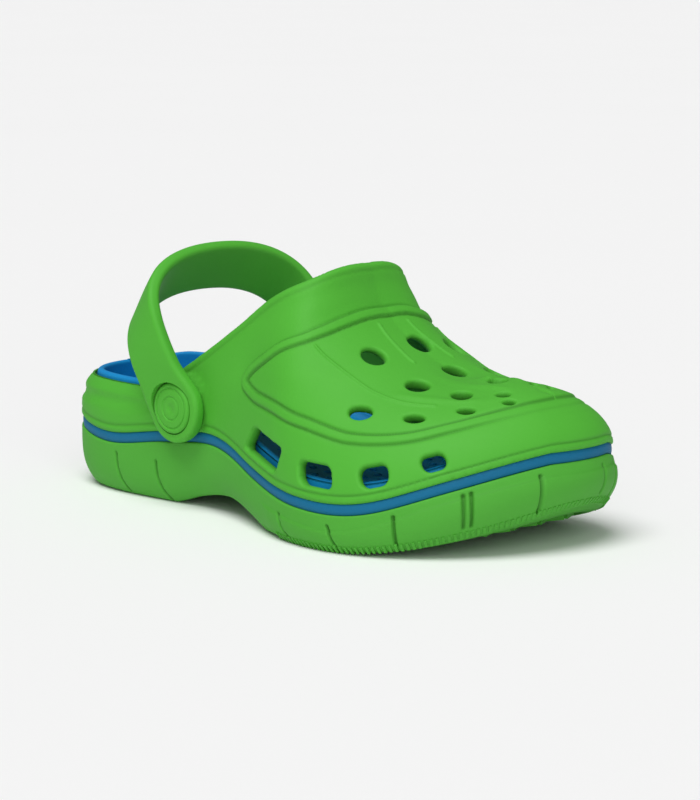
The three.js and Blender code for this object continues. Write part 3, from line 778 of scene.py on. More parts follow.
    def wanted_step(self, at):
        """Longest edge that the mesh may have at each point."""
        panel = np.minimum(np.abs(at["panel"]), np.abs(at["panel"] - STRIP_WIDTH))
        sizes = [
            0.45 + 0.6 * np.maximum(np.abs(at["vent"]) - 1.2, 0),
            0.55 + 0.6 * np.maximum(np.abs(at["throat"]) - 2.6, 0),
            0.5 + 0.6 * np.maximum(panel - 0.8, 0),
            0.42 + 0.6 * np.maximum(at["fine"] - 0.5, 0),
            1.0 + 0.6 * np.maximum(np.abs(at["post"]) - 1, 0),
            0.6 + 0.6 * np.maximum(np.abs(at["base"] - 2.4) - 0.5, 0),
            0.85 + 0.6 * at["base"],
            np.full(len(panel), 2.1),
        ]
        step = np.minimum.reduce(sizes)
        return np.where(self.field(at) < -2.5, 3.0, step)

    def relief(self, at):
        """Outward displacement of the outer face, and how much painted shade each point gets in creases and
        grooves.
        """
        x = at["points"][:, 0]
        rim, panel = at["throat"], at["panel"]
        heel, toe = smoothstep(-30, -48, x), smoothstep(72, 90, x)
        top = at["points"][:, 2]

        # The collar sinks in behind the panel's frame, and the frame fades out at the toe.
        collar = smoothstep(21, 12, rim) * smoothstep(-40, 2, x) * smoothstep(0.3, -0.3, panel)
        rise = self.sizes.collar_dip / -MM * collar * smoothstep(-9, 0, panel)
        frame = smoothstep(-0.4, 0.4, panel) * smoothstep(STRIP_WIDTH + 0.35, STRIP_WIDTH - 0.35, panel)
        rise += self.sizes.frame_proud / MM * frame * (1 - toe)
        rise += 0.9 * toe * smoothstep(STRIP_WIDTH - 0.3, STRIP_WIDTH + 0.3, panel)
        border = swell(panel + 0.2, 0.55) * (1 - 0.7 * toe)
        inner = swell(panel - STRIP_WIDTH - 0.25, 0.5)
        rise -= 0.36 * border + 0.46 * inner

        # Fine lines and soft ribs on the panel, and the dip across the vamp behind them.
        fine = swell(at["fine"], 0.42) * smoothstep(STRIP_WIDTH, STRIP_WIDTH + 1.5, panel)
        flute = swell(at["flute"], 1.4) * smoothstep(48, 60, x) * smoothstep(80, 70, x)
        flute *= smoothstep(0.6, 2.2, at["vent"])
        rise += 0.5 * fine + 0.5 * flute
        rise -= 1.6 * swell(x - 29, 12) * smoothstep(46, 60, top)

        # The rim: higher at the instep, set off by a line, and stepped in round the heel.
        rise += 1.6 * smoothstep(7, 1.5, rim) * smoothstep(58, 70, top)
        rim_line = swell(rim - 2.8, 0.5) * (1 - heel)
        rise -= 0.28 * rim_line
        rise -= heel * (1.3 * smoothstep(8.6, 5.4, rim) - 0.45 * swell(rim - 3.6, 1.6))
        rise -= heel * 0.2 * swell(rim - 6.6, 1.0)

        # The line just above the stripe, then every edge rounded over.
        welt = swell(at["base"] - 2.4, 0.38)
        rise -= 0.34 * welt
        # Painted shade: colour darkened along the panel's border and frame grooves, the welt line and the rim
        # line.
        painted_shade = np.clip(0.75 * border + 1.0 * inner + 0.6 * welt + 0.4 * rim_line, 0, 1)
        rise -= round_over(rim * (1 - 0.5 * heel), self.sizes.rim_round / MM + 0.8 * heel)
        rise -= round_over(at["vent"], self.sizes.vent_round / MM)
        rise -= round_over(at["base"], 0.45)
        return rise, painted_shade


def refine(places, faces, form):
    """Splits the edges that are longer than the mesh may have where they lie."""
    at = form.measure(places)
    for _ in range(7):
        points, wanted = at["points"], form.wanted_step(at)
        sides = np.sort(faces[:, [[0, 1], [1, 2], [2, 0]]], -1).reshape(-1, 2)
        edges, index = np.unique(sides, axis=0, return_inverse=True)
        long = np.linalg.norm(points[edges[:, 0]] - points[edges[:, 1]], axis=1)
        split = long > 1.45 * wanted[edges].min(1)
        if not split.any():
            break
        middle = np.full(len(edges), -1)
        middle[split] = len(places) + np.arange(split.sum())
        added = places[edges[split]].mean(1)
        at_added = form.measure(added)
        at = {key: np.concatenate([at[key], at_added[key]]) for key in at}
        places = np.vstack([places, added])
        m = middle[index.reshape(-1, 3)]
        count = (m >= 0).sum(1)
        parts = [faces[count == 0]]
        whole, mids = faces[count == 3], m[count == 3]
        a, b, c = whole.T
        ab, bc, ca = mids.T
        parts += [np.stack(f, 1) for f in ((a, ab, ca), (ab, b, bc), (ca, bc, c), (ab, bc, ca))]
        for k in range(3):
            turn = [k, (k + 1) % 3, (k + 2) % 3]
            one = (count == 1) & (m[:, k] >= 0)
            a, b, c = faces[one][:, turn].T
            ab = m[one, k]
            parts += [np.stack([a, ab, c], 1), np.stack([ab, b, c], 1)]
            two = (count == 2) & (m[:, k] < 0)
            a, b, c = faces[two][:, turn].T
            bc, ca = m[two][:, turn[1]], m[two][:, turn[2]]
            parts += [np.stack([a, b, bc], 1), np.stack([a, bc, ca], 1), np.stack([ca, bc, c], 1)]
        faces = np.vstack(parts)
    return places, faces, at


def point_normals(points, faces):
    a, b, c = points[faces].transpose(1, 0, 2)
    flat = np.cross(b - a, c - a)
    normals = np.zeros_like(points)
    for k in range(3):
        np.add.at(normals, faces[:, k], flat)
    return normals / np.maximum(np.linalg.norm(normals, axis=1), 1e-12)[:, None]


def same_side(start, end):
    """Both ends of each edge, with one that lies on the heel or toe line put on the other's side."""
    start, end = start.copy(), end.copy()
    for one, other in ((start, end), (end, start)):
        shared = np.isin(one[:, 0], [0, 1])
        one[shared, 1] = np.abs(one[shared, 1]) * np.where(other[shared, 1] < 0, -1, 1)
    return start, end


def trim(places, faces, form, at, normals):
    """Cuts the skin along the edge of its openings."""
    field = form.field(at)
    sides = np.unique(np.sort(faces[:, [[0, 1], [1, 2], [2, 0]]], -1).reshape(-1, 2), axis=0)
    for first, second in ((0, 1), (1, 0)):
        a, b = sides[:, first], sides[:, second]
        share = field[a] / np.where(field[a] == field[b], 1, field[a] - field[b])
        near = (field[a] * field[b] < 0) & (share < 0.22)
        inner = (places[a[near], 0] > 0) & (places[a[near], 0] < 1)
        a, b, share = a[near][inner], b[near][inner], share[near][inner]
        start, end = same_side(places[a], places[b])
        places[a] = start + (end - start) * share[:, None]
        field[a] = 0.0
    a, b = sides.T
    crossed = field[a] * field[b] < 0
    a, b = a[crossed], b[crossed]
    share = (field[a] / (field[a] - field[b]))[:, None]
    cut = {}
    for number, pair in enumerate(zip(a.tolist(), b.tolist())):
        cut[pair] = len(places) + number
    start, end = same_side(places[a], places[b])
    places = np.vstack([places, start + (end - start) * share])
    normals = np.vstack([normals, normals[a] + (normals[b] - normals[a]) * share])
    field = np.concatenate([field, np.zeros(len(a))])
    state = np.sign(field[faces])
    whole = (state.min(1) >= 0) & (state.max(1) > 0)
    kept = faces[whole].tolist()
    for face in faces[(state.min(1) < 0) & (state.max(1) > 0)].tolist():
        ring = []
        for p, q in zip(face, face[1:] + face[:1]):
            if field[p] >= 0:
                ring.append(p)
            if (min(p, q), max(p, q)) in cut:
                ring.append(cut[min(p, q), max(p, q)])
        kept += [[ring[0], ring[i], ring[i + 1]] for i in range(1, len(ring) - 1)]
    return places, np.array(kept), normals


def build_shell(sizes):
    form = ShellForm(sizes)
    rows, columns = 70, 56
    place, over = np.meshgrid(np.linspace(0, 1, rows + 1), np.linspace(-1, 1, columns + 1), indexing="ij")
    places = np.stack([place.ravel(), over.ravel()], 1)
    a = (np.arange(rows)[:, None] * (columns + 1) + np.arange(columns)).reshape(-1)
    b, c, d = a + 1, a + columns + 1, a + columns + 2
    faces = np.vstack([np.stack([a, c, d], 1), np.stack([a, d, b], 1)])
    places, faces, at = refine(places, faces, form)
    twins = np.where(np.isin(places[:, :1], [0, 1]), np.abs(places), places)
    keys = np.round(twins * 1e7).astype(np.int64)
    _, first, index = np.unique(keys, axis=0, return_index=True, return_inverse=True)
    faces = index.reshape(-1)[faces]
    places, at = places[first], {key: value[first] for key, value in at.items()}
    distinct = (faces[:, 0] != faces[:, 1]) & (faces[:, 1] != faces[:, 2]) & (faces[:, 2] != faces[:, 0])
    faces = faces[distinct]
    normals = point_normals(at["points"], faces)
    places, faces, normals = trim(places, faces, form, at, normals)
    used = np.unique(faces)
    renumber = np.full(len(places), -1)
    renumber[used] = np.arange(len(used))
    faces, places, normals = renumber[faces], places[used], normals[used]
    normals /= np.linalg.norm(normals, axis=1)[:, None]
    at = form.measure(places)
    return form, at, faces, normals


def shell_mesh(sizes):
    form, at, faces, normals = build_shell(sizes)
    points = at["points"]
    top = points[:, 2].argmax()
    if normals[top, 2] < 0:
        normals, faces = -normals, faces[:, ::-1]
    rise, painted_shade = form.relief(at)
    outer = points + normals * rise[:, None]
    wall = sizes.wall / MM
    lift = round_over(at["throat"], 1.1) + round_over(at["vent"], 1.7)
    inner = points - normals * (wall - lift)[:, None]
    inner[:, 2] = np.maximum(inner[:, 2], upper_base(inner[:, 0]))
    base = at["base"] < 1e-6
    inner[base, 2] = points[base, 2]
    reach = at["post"] + POST_HOLE
    for side, span in form.spans.items():
        near = (points[:, 1] * side > 0) * smoothstep(10.4, 9.2, reach)
        outer[:, 1] += near * (side * span["pad_face"] - outer[:, 1])
        near = (points[:, 1] * side > 0) * smoothstep(7.2, 6.2, reach)
        inner[:, 1] += near * (side * span["pad_back"] - inner[:, 1])
    count = len(points)
    directed = faces[:, [[0, 1], [1, 2], [2, 0]]].reshape(-1, 2)
    codes = directed[:, 0] * count + directed[:, 1]
    alone = ~np.isin(directed[:, 1] * count + directed[:, 0], codes)
    a, b = directed[alone].T
    walls = np.stack([b, a, a + count, b + count], 1)
    polygons = faces.tolist() + (faces[:, ::-1] + count).tolist() + walls.tolist()
    # Painted shade: the shell's inner face is darkened by a fixed 0.25.
    shade = np.concatenate([painted_shade, np.full(count, 0.25)])
    return np.vstack([outer, inner]), polygons, shade


# ---- Sole -------------------------------------------------------------------

SOLE_GROOVES = [                  # x and height along each groove, from the top
    [(-61.4, 13.0), (-61.0, 8.8), (-59.8, 4.6), (-58.0, 1.0)],
    [(-43.0, 12.6), (-42.6, 8.2), (-41.4, 4.0), (-39.0, 0.4)],
    [(27.2, 8.2), (28.4, 4.6), (31.0, 1.0)], [(48.3, 7.9), (51.0, 0.6)], [(67.7, 12.4), (68.3, 4.0)],
    [(82.4, 18.8), (82.5, 9.4)], [(83.8, 19.4), (83.9, 10.0)], [(93.4, 23.2), (93.5, 12.4)],
]
TOE_GROOVE = (0.965, 23.6, 15.8)  # place on the inner side, and its two heights
SOLE_DRAFT = 4.0                  # how far the outsole draws in at its foot
BED_FLOOR = 2.75                  # height of the footbed's floor above the shell's base
BED_INSET = 4.3                   # from the shell's outer face to the footbed's
FAR_RIM = 2.2                     # how much higher the cup stands on the inner side


def drawn_in(level):
    """How far the outsole draws in, from level 0 at its top edge to 1 at its foot."""
    return SOLE_DRAFT * level**4


def groove_lines():
    lines = []
    for side in (-1, 1):
        for groove in SOLE_GROOVES:
            x, z = np.array(groove).T
            edge_x, edge_y, _, _ = edge_at(side, place_at(x))
            lines.append(np.stack([edge_x, edge_y, z], 1))
    place, high, low = TOE_GROOVE
    x, y, _, _ = edge_at(1, place)
    lines.append(np.array([(x, y, high), (x, y, low)]))
    return lines


def block_line(x):
    """How far the tread blocks start below the outsole's top edge."""
    return np.interp(x, [15, 27, 48.5, 66.5, 74.3, 81.8, 96.7], [4.4, 4.1, 5.0, 3.6, 2.7, 2.6, 3.0])


def outsole_places():
    """Rows of the outsole from heel to toe, closer together where a groove crosses."""
    parts = [np.linspace(0, 1, 300), TOE_GROOVE[0] + np.linspace(-0.012, 0.012, 15)]
    for groove in SOLE_GROOVES:
        x = np.array(groove)[:, 0]
        parts.append(place_at(np.arange(x.min() - 1.4, x.max() + 1.4, 0.28)))
    place = np.unique(np.round(np.concatenate(parts), 5))
    apart = np.diff(place) > 0.0006
    return place[np.concatenate([[True], apart])]


def outsole_mesh():
    levels = np.concatenate([[0, 0.012, 0.03], np.linspace(0.06, 0.97, 34), [0.985, 1.0]])
    place = outsole_places()
    lines = groove_lines()
    halves, shades = {}, {}
    for side in (-1, 1):
        rings, shade = [], []
        for level in levels:
            x, y, out_x, out_y = edge_at(side, place)
            inset = drawn_in(level)
            own_x = x - inset * out_x
            top, ground = outsole_top(own_x), ground_height(own_x)
            z = top + (ground - top) * level
            depth = top - z
            points = np.stack([x, y, z], 1)
            inset = inset + round_over(depth, 0.45) + 0.5 * smoothstep(0.97, 1.0, level)
            front = smoothstep(14, 22, x)
            block = smoothstep(-0.3, 0.3, depth - block_line(x)) * front * smoothstep(1.0, 0.9, level)
            gap = np.minimum.reduce([distance_to_line(points, line) for line in lines])
            groove = smoothstep(0.75, 0.12, gap)
            toe = smoothstep(66, 96, x) * np.sin(np.pi * np.clip(level, 0, 1)) * 1.3
            grow = 0.45 * block - 1.25 * groove + toe - inset
            rings.append(points + np.stack([out_x * grow, out_y * grow, 0 * x], 1))
            # Painted shade: darker in the sole's grooves and along the top edge of the tread blocks.
            shade.append(np.clip(1.0 * groove + 0.35 * swell(depth - block_line(x), 0.35) * front, 0, 1))
        for inset, lift in ((5.2, 0), (7.6, 0), (8.0, 0.35), (8.3, 1.4)):
            x, y, _, _ = edge_at(side, place, inset)
            rings.append(np.stack([x, y, ground_height(x) + lift], 1))
            # Painted shade: the lifted rings of the underside are darkened by half.
            shade.append(np.full(len(x), 0.5 * (lift > 0)))
        halves[side], shades[side] = np.array(rings), np.array(shade)
    left, right = halves[-1], halves[1][::-1]
    under = across(left[-1], right[0], 14)
    over = across(right[-1], left[0], 8)
    loops = np.vstack([left, under, right, over]).transpose(1, 0, 2)
    # Painted shade: the underside between the sides is darkened by half, and the top edge not at all.
    shade = np.vstack([shades[-1], np.full((len(under), len(place)), 0.5), shades[1][::-1],
                       np.zeros((len(over), len(place)))]).T
    return loop_skin(loops, shade)


def tooth_places(pitch):
    """Places of the teeth along the tread's bottom edge, round the front of the sole."""
    spots, facing, along = [], [], []
    for side in (-1, 1):
        place = np.linspace(place_at(24.0), 1.0, 1500)
        level = 0.9
        x, y, out_x, out_y = edge_at(side, place)
        inset = drawn_in(level) - 0.42 - 0.4 * smoothstep(66, 96, x)
        top, ground = outsole_top(x - inset * out_x), ground_height(x - inset * out_x)
        line = np.stack([x - inset * out_x, y - inset * out_y, top + (ground - top) * level], 1)
        reach = np.concatenate([[0], np.cumsum(np.linalg.norm(np.diff(line, axis=0), axis=1))])
        for distance in np.arange(0, reach[-1], pitch):
            k = min(np.searchsorted(reach, distance), len(line) - 2)
            spots.append(line[k])
            facing.append((out_x[k] * 0.76, out_y[k] * 0.76, -0.65))
            along.append(line[k + 1] - line[k])
    return np.array(spots), np.array(facing), np.array(along)


def lug_places(pitch):
    """Zigzag bars of the tread, inside the rim of the sole's underside."""
    spots, along = [], []
    for start, rows in ((-0.385 * LENGTH, 4), (0.075 * LENGTH, 8)):
        for row in range(rows):
            x = start + row * pitch
            outer, inner = (across_at(side, x, 10.5) for side in (-1, 1))
            count = int((inner - outer) // 6.2)
            for number in range(count + 1):
                y = outer + (inner - outer) * (number + 0.5) / (count + 1)
                spots.append((x, y, ground_height(x) + 1.2))
                along.append((0.42 if number % 2 else -0.42, 1.0, 0.0))
    spots = np.array(spots)
    return spots, np.tile([0.0, 0.0, 1.0], (len(spots), 1)), np.array(along)


def midsole_mesh(recess):
    place = np.linspace(0, 1, 241)
    profile = [(0.5, 0.0), (0.15, 0.08), (0.0, 0.35), (0.0, 0.5), (0.0, 0.65), (0.15, 0.92), (0.5, 1.0)]
    halves = {}
    for side in (-1, 1):
        rings = []
        for more, share in profile:
            x, y, _, _ = edge_at(side, place, recess + more)
            own_x = edge_at(side, place)[0]
            bottom, top = outsole_top(own_x) + 0.03, upper_base(own_x) - 0.03
            rings.append(np.stack([x, y, bottom + (top - bottom) * share], 1))
        halves[side] = np.array(rings)
    left, right = halves[-1], halves[1][::-1]
    loops = np.vstack([left, across(left[-1], right[0], 6), right, across(right[-1], left[0], 6)])
    return loop_skin(loops.transpose(1, 0, 2))


def bed_floor(x):
    return upper_base(x) + BED_FLOOR


def bed_rim(x):
    low, high = bed_floor(x) + 3, COLLAR_HEIGHT + 1.2
    return high + (low - high) * smoothstep(-0.3, -0.2, x / LENGTH)


def footbed_mesh():
    place = np.linspace(0, 1, 321)
    spans = rivet_spans()
    lip = 1.1
    inside = BED_INSET + 2 * lip
    profile = [(BED_INSET + 0.4, "bottom", 0.0), (BED_INSET, "bottom", 0.5)]
    profile += [(BED_INSET, "wall", share) for share in np.linspace(0.1, 0.9, 9)]
    profile += [(BED_INSET + lip * (1 - math.cos(a)), "rim", lip * (math.sin(a) - 1))
                for a in np.linspace(0, math.pi, 11)]
    profile += [(inside, "wall", share) for share in np.linspace(0.9, 0.45, 6)]
    profile += [(inside + 3.2 * (1 - math.cos(a)), "floor", 3.0 * (1 - math.sin(a)))
                for a in np.linspace(0.12, math.pi / 2, 8)]
    halves = {}
    for side in (-1, 1):
        rings = []
        for inset, kind, amount in profile:
            def height(x, kind=kind, amount=amount):
                bottom, floor = upper_base(x) + 0.15, bed_floor(x)
                rim = bed_rim(x) + FAR_RIM * (side > 0) * smoothstep(-94, -78, x) * smoothstep(-32, -42, x)
                short = np.minimum(1, (rim - floor) / 3.4)
                return {"bottom": bottom + amount, "wall": bottom + (rim - bottom) * amount,
                        "rim": rim + amount, "floor": floor + amount * short}[kind]

            points = wall_point(side, place, inset, height)
            reach = np.hypot(points[:, 0] - PIVOT[0], points[:, 2] - PIVOT[1])
            clear = spans[side]["pad_back"] - 3.3 - 0.6 * (inset - BED_INSET)
            near = smoothstep(9.5, 6.6, reach) * (points[:, 1] * side > clear)
            points[:, 1] += near * (side * clear - points[:, 1])
            rings.append(points)
        halves[side] = np.array(rings)
    left, right = halves[-1], halves[1][::-1]
    floor = across(left[-1], right[0], 18)
    loops = np.vstack([left, floor, right, across(right[-1], left[0], 6)])
    return loop_skin(loops.transpose(1, 0, 2))


def nub_places(pitch):
    spots = []
    for row, x in enumerate(np.arange(-0.45 * LENGTH, 0.4 * LENGTH, pitch * 0.87)):
        outer, inner = (across_at(side, x, 13.5) for side in (-1, 1))
        for y in np.arange(outer + (row % 2) * pitch / 2, inner, pitch):
            spots.append((x, y, float(bed_floor(x))))
    spots = np.array(spots)
    return spots, np.tile([0.0, 0.0, 1.0], (len(spots), 1)), np.tile([1.0, 0.0, 0.0], (len(spots), 1))


# ---- Strap and rivets -------------------------------------------------------


def strap_stations(spans):
    """Centre, way along, way across and half width of the strap, paddle to paddle."""
    lean = math.radians(115)
    up = np.array([math.cos(lean), 0, math.sin(lean)])
    outer, inner = spans[-1]["paddle_inner"], spans[1]["paddle_inner"]
    middle, span = (inner - outer) / 2, (inner + outer + PADDLE_THICKNESS) / 2
    pivot = np.array([PIVOT[0], middle, PIVOT[1]])
    controls = np.array([(span, 0), (span, 6), (50, 43.8), (0, 43.8)])
    share = np.concatenate([np.linspace(0, 0.3, 26)[:-1], np.linspace(0.3, 1, 46)])[:, None]
    weights = [(1 - share) ** 3, 3 * share * (1 - share) ** 2, 3 * share**2 * (1 - share), share**3]
    slopes = [3 * (1 - share) ** 2, 6 * share * (1 - share), 3 * share**2]
    path = sum(w * c for w, c in zip(weights, controls))
    way = sum(w * (controls[k + 1] - controls[k]) for k, w in enumerate(slopes))
    travelled = np.cumsum(np.linalg.norm(np.diff(path, axis=0), axis=1))
    tip = -PADDLE_RADIUS * np.cos(np.linspace(0, math.pi / 2, 26)[:-1])
    rows_in_tip = len(tip)
    path = np.vstack([np.stack([np.full(rows_in_tip, span), tip], 1), path])
    way = np.vstack([np.tile([0.0, 1.0], (rows_in_tip, 1)), way])
    share = np.concatenate([np.zeros(rows_in_tip), share[:, 0]])
    reach = np.concatenate([tip, [0], travelled])
    band = BAND_HALF_WIDTH + (PADDLE_RADIUS - BAND_HALF_WIDTH) * smoothstep(13, 0, reach)
    half = np.where(reach < 0, np.sqrt(np.maximum(PADDLE_RADIUS**2 - reach**2, 0)), band)
    turn = np.radians(25 + (58 - 25) * smoothstep(0, 0.7, share))
    rows = []
    for side in (-1, 1):
        centre = pivot + np.outer(side * path[:, 0], [0, 1, 0]) + np.outer(path[:, 1], up)
        along = np.outer(side * way[:, 0], [0, 1, 0]) + np.outer(way[:, 1], up)
        along *= -side / np.linalg.norm(along, axis=1)[:, None]
        facing = np.stack([np.cos(turn), 0 * turn, np.sin(turn)], 1)
        flat = facing - along * (facing * along).sum(1)[:, None]
        flat /= np.linalg.norm(flat, axis=1)[:, None]
        rows.append((centre, along, flat, half, reach))
    return [np.concatenate([a, b[::-1][1:]]) for a, b in zip(*rows)]


def strap_mesh(thickness):
    spans = rivet_spans()
    centre, along, flat, half, reach = strap_stations(spans)
    thin = np.cross(along, flat)
    middle = np.array([PIVOT[0], 0, PIVOT[1]])
    if (thin * (centre - middle)).sum(1)[len(centre) // 2] < 0:
        thin = -thin
    radius = 1.55
    tip = np.clip(reach + PADDLE_RADIUS, 0, radius)
    tall = thickness / 2 - radius + np.sqrt(np.maximum(radius**2 - (radius - tip) ** 2, 0))
    tall = np.maximum(tall, 0.02)
    corner = np.minimum(radius, np.minimum(tall, half))
    quarter = np.linspace(0, math.pi / 2, 7)
    run = np.linspace(-1, 1, 11)[1:-1]
    crown = 0.4 * smoothstep(8, 22, reach)
    rows = []
    for quadrant in range(4):
        sign_a, sign_b = ((1, 1), (-1, 1), (-1, -1), (1, -1))[quadrant]
        arc = quarter if quadrant % 2 == 0 else quarter[::-1]
        for a in arc:
            rows.append((sign_a * (half - corner + corner * math.cos(a)),
                         sign_b * (tall - corner + corner * math.sin(a))))
        if quadrant in (0, 2):
            for r in run[::-1] if quadrant == 0 else run:
                rows.append((r * (half - corner), sign_b * tall + (crown * (1 - r * r) if sign_b > 0 else 0)))
    loops = np.stack([centre + flat * a[:, None] + thin * b[:, None] for a, b in rows], 1)
    return loop_skin(np.concatenate([loops[:1].mean(1, keepdims=True) + 0 * loops[:1], loops,
                                     loops[-1:].mean(1, keepdims=True) + 0 * loops[-1:]]))


def cut_paddles(strap, spans):
    """Recesses for the rivet caps and holes for their posts."""
    for side in (-1, 1):
        span = spans[side]
        recess = span["paddle_outer"] - 1.2
        below, above = span["paddle_inner"] - 3, span["paddle_outer"] + 4
        profile = [(0, below), (POST_HOLE, below), (POST_HOLE, recess),
                   (CAP_RECESS, recess), (CAP_RECESS, above), (0, above)]
        points, faces = turned(profile, side, 96)
        mesh = bpy.data.meshes.new("cutter")
        mesh.from_pydata((points * MM).tolist(), [], [list(map(int, f)) for f in faces])
        cutter = bpy.data.objects.new("cutter", mesh)
        bpy.context.scene.collection.objects.link(cutter)
        bite = strap.modifiers.new("bite", "BOOLEAN")
        bite.operation, bite.solver, bite.object = "DIFFERENCE", "EXACT", cutter
        graph = bpy.context.evaluated_depsgraph_get()
        cut = bpy.data.meshes.new_from_object(strap.evaluated_get(graph))
        strap.modifiers.remove(bite)
        strap.data = cut
        bpy.data.objects.remove(cutter)
    strap.data.polygons.foreach_set("use_smooth", np.ones(len(strap.data.polygons), bool))
    strap.data.set_sharp_from_angle(angle=math.radians(32))


def cap_profile(span):
    """Post, underside and ringed face of a rivet cap."""
    face, under = span["cap"], span["cap"] - 1.6
    post, chamfer = POST_HOLE - FIT_GAP, 0.4
    rings = [(7.8, 0.75), (7.65, 0.35), (7.3, 0.08), (6.95, 0), (6.6, 0.02), (6.45, 0.3), (6.1, 0.34),
             (5.9, 0.1), (5.5, 0.02), (4.0, 0), (3.75, 0.22), (3.4, 0.24), (3.2, 0.04), (2.6, 0),
             (1.2, 0), (1.0, 0.14), (0.6, 0.16), (0.0, 0.16)]
    return [(0, span["tip"]), (post - chamfer, span["tip"]), (post, span["tip"] + chamfer), (post, under),
            (7.8, under), *((radius, face - depth) for radius, depth in rings)]


def socket_profile(span):
    """Ringed back and bore of the nut inside the shell."""
    face = span["pad_back"] - 0.3
    floor = span["pad_back"] - 1.9
    back = floor - 1.0
    return [(0, back + 0.3), (1.6, back + 0.3), (1.9, back), (4.6, back), (5.2, back + 0.15),
            (5.6, back + 0.6), (5.6, face), (POST_HOLE, face), (POST_HOLE, floor), (0, floor)]


# ---- Operators --------------------------------------------------------------


class ClogBuilder:
    """What every building step shares."""

    bl_options = {"REGISTER"}

    def settings(self, context):
        return context.scene.clog_sizes


class CLOG_OT_shell(ClogBuilder, bpy.types.Operator):
    """Build the ventilated upper shell"""

    bl_idname = "clog.shell"
    bl_label = "Shell"

    def execute(self, context):
        points, faces, painted_shade = shell_mesh(self.settings(context))
        make_piece("shell", points, faces, "clog", finish_of("upper_green"), ["upper"], painted_shade)
        return {"FINISHED"}


class CLOG_OT_outsole(ClogBuilder, bpy.types.Operator):
    """Build the outsole with its blocks, edge teeth and tread bars"""

    bl_idname = "clog.outsole"
    bl_label = "Outsole"

    def execute(self, context):
        sizes, finish = self.settings(context), finish_of("outsole_green")
        points, faces, painted_shade = outsole_mesh()
        make_piece("outsole_body", points, faces, "clog", finish, ["outsole"], painted_shade)
        spots, facing, along = tooth_places(sizes.tooth_pitch / MM)
        repeated("outsole_teeth", "GeometryNodeMeshCube", {"Size": (1.0, 1.0, 1.0)},
                 spots, facing, along, (0.85, 2.7, 0.85), "clog", finish, smooth=False)
        spots, facing, along = lug_places(sizes.lug_pitch / MM)
        repeated("outsole_bars", "GeometryNodeMeshCube", {"Size": (1.0, 1.0, 1.0)},
                 spots, facing, along, (6.4, 4.2, 1.4), "clog", finish, smooth=False)
        return {"FINISHED"}


class CLOG_OT_midsole(ClogBuilder, bpy.types.Operator):
    """Build the contrasting midsole whose edge shows as a stripe"""

    bl_idname = "clog.midsole"
    bl_label = "Midsole"

    def execute(self, context):
        points, faces, _ = midsole_mesh(self.settings(context).stripe_recess / MM)
        make_piece("midsole_stripe", points, faces, "clog", finish_of("midsole_blue"),
                   ["midsole"])
        return {"FINISHED"}


class CLOG_OT_footbed(ClogBuilder, bpy.types.Operator):
    """Build the footbed with its heel cup and nubs"""

    bl_idname = "clog.footbed"
    bl_label = "Footbed"

    def execute(self, context):
        finish = finish_of("footbed_blue")
        points, faces, _ = footbed_mesh()
        make_piece("footbed_cup", points, faces, "clog", finish, ["footbed"])
        spots, facing, along = nub_places(self.settings(context).nub_pitch / MM)
        repeated("footbed_nubs", "GeometryNodeMeshUVSphere", {"Segments": 10, "Rings": 6, "Radius": 1.0},
                 spots, facing, along, (1.35, 1.35, 0.6), "clog", finish)
        return {"FINISHED"}


class CLOG_OT_strap(ClogBuilder, bpy.types.Operator):
    """Build the swinging heel strap"""

    bl_idname = "clog.strap"
    bl_label = "Heel strap"

    def execute(self, context):
        points, faces, _ = strap_mesh(self.settings(context).strap_thickness / MM)
        strap = make_piece("strap_band", points, faces, "strap", finish_of("strap_green"),
                           ["heel_strap"])
        cut_paddles(strap, rivet_spans())
        return {"FINISHED"}


class CLOG_OT_rivets(ClogBuilder, bpy.types.Operator):
    """Build both rivets: a ringed cap outside and its nut inside"""

    bl_idname = "clog.rivets"
    bl_label = "Rivets"

    def execute(self, context):
        finish = finish_of("rivet_green")
        for side, word in ((-1, "lateral"), (1, "medial")):
            span = rivet_spans()[side]
            body = word + "_rivet"
            for name, profile in (("cap", cap_profile(span)), ("socket", socket_profile(span))):
                points, faces = turned(profile, side)
                make_piece("rivet_%s_%s_face" % (name, word), points, faces, body, finish,
                           ["rivet_%s_%s" % (name, word)], sharp=38)
        return {"FINISHED"}


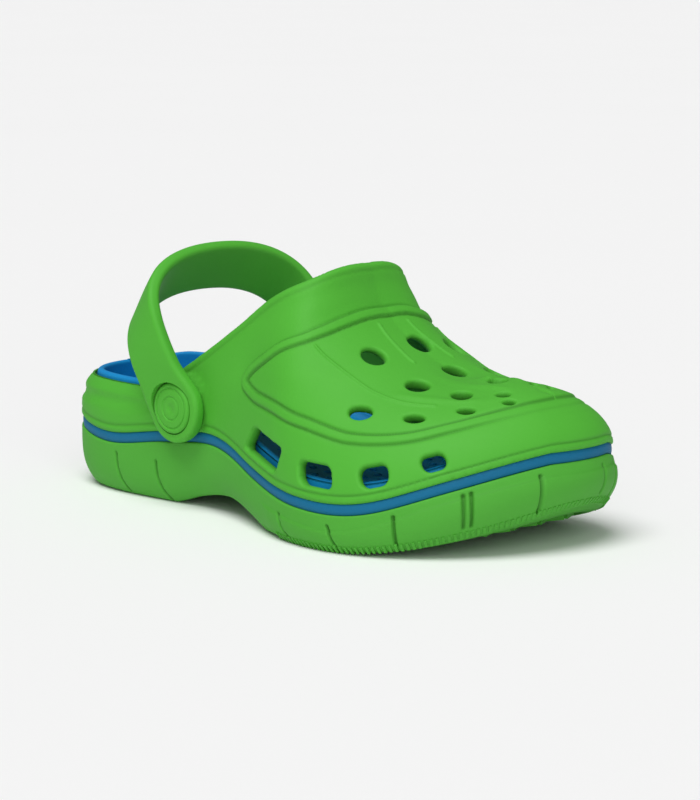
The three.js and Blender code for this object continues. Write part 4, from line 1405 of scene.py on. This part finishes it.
class CLOG_OT_stage(ClogBuilder, bpy.types.Operator):
    """Set out the floor, the light and the camera"""

    bl_idname = "clog.stage"
    bl_label = "Stage"

    def execute(self, context):
        scene = context.scene
        scene.view_settings.view_transform = "Standard"
        look = Finish("stage_floor")
        place = look.node("ShaderNodeTexCoord", output="Object")
        tone = tuple(scene.clog_colours.floor)
        base = look.mix(look.noise(place, 3.0), (*tone, 1), (*(0.985 * part for part in tone), 1))
        surface = look.node("ShaderNodeBsdfPrincipled",
                            {"Base Color": base, "Roughness": 0.9, "Specular IOR Level": 0.1})
        reach = 12.0
        mesh = bpy.data.meshes.new("floor")
        corners = [(x * reach, y * reach, -0.0002) for x, y in ((-1, -1), (1, -1), (1, 1), (-1, 1))]
        mesh.from_pydata(corners, [], [(0, 1, 2, 3)])
        mesh.materials.append(look.close(surface))
        floor = bpy.data.objects.new("floor", mesh)
        scene.collection.objects.link(floor)
        world = bpy.data.worlds.new("studio")
        world.use_nodes = True
        world.node_tree.nodes["Background"].inputs["Color"].default_value = (1.0, 1.0, 1.0, 1)
        world.node_tree.nodes["Background"].inputs["Strength"].default_value = 0.21
        scene.world = world
        for name, strength, angle, towards in (("key", 2.3, 40, (-0.1, 0.4, -1.0)),
                                               ("front", 1.0, 50, (-0.75, 0.65, -0.4))):
            sun = bpy.data.lights.new(name, "SUN")
            sun.energy, sun.angle = strength, math.radians(angle)
            lamp = bpy.data.objects.new(name, sun)
            lamp.rotation_euler = Vector(towards).to_track_quat("-Z", "Y").to_euler()
            scene.collection.objects.link(lamp)
        lens = bpy.data.cameras.new("camera")
        lens.lens, lens.sensor_width = 128.0, 36.0
        lens.shift_x, lens.shift_y = 0.0456, 0.0158
        lens.clip_start, lens.clip_end = 0.01, 50.0
        camera = bpy.data.objects.new("camera", lens)
        turn, rise, distance = math.radians(45), math.radians(9.5), 0.87
        target = Vector((0, 0, 0.03))
        back = Vector((math.sin(turn) * math.cos(rise), -math.cos(turn) * math.cos(rise), math.sin(rise)))
        camera.location = target + back * distance
        camera.rotation_euler = (-back).to_track_quat("-Z", "Y").to_euler()
        scene.collection.objects.link(camera)
        scene.camera = camera
        return {"FINISHED"}


STEPS = (CLOG_OT_stage, CLOG_OT_shell, CLOG_OT_outsole, CLOG_OT_midsole, CLOG_OT_footbed, CLOG_OT_strap,
         CLOG_OT_rivets)


class CLOG_PT_panel(bpy.types.Panel):
    """Settings and building steps of the clog"""

    bl_label = "Garden clog"
    bl_idname = "CLOG_PT_panel"
    bl_space_type = "VIEW_3D"
    bl_region_type = "UI"
    bl_category = "Clog"

    def draw(self, context):
        for group in (context.scene.clog_sizes, context.scene.clog_colours):
            box = self.layout.box()
            for name in group.__annotations__:
                box.prop(group, name)
        for step in STEPS:
            self.layout.operator(step.bl_idname)


CLASSES = (ClogSizes, ClogColours, *STEPS, CLOG_PT_panel)


def register():
    for item in CLASSES:
        bpy.utils.register_class(item)
    bpy.types.Scene.clog_sizes = bpy.props.PointerProperty(type=ClogSizes)
    bpy.types.Scene.clog_colours = bpy.props.PointerProperty(type=ClogColours)


def unregister():
    del bpy.types.Scene.clog_colours
    del bpy.types.Scene.clog_sizes
    for item in reversed(CLASSES):
        bpy.utils.unregister_class(item)


def main():
    register()
    for step in STEPS:
        getattr(bpy.ops.clog, step.bl_idname.split(".")[1])()


if __name__ == "__main__":
    main()
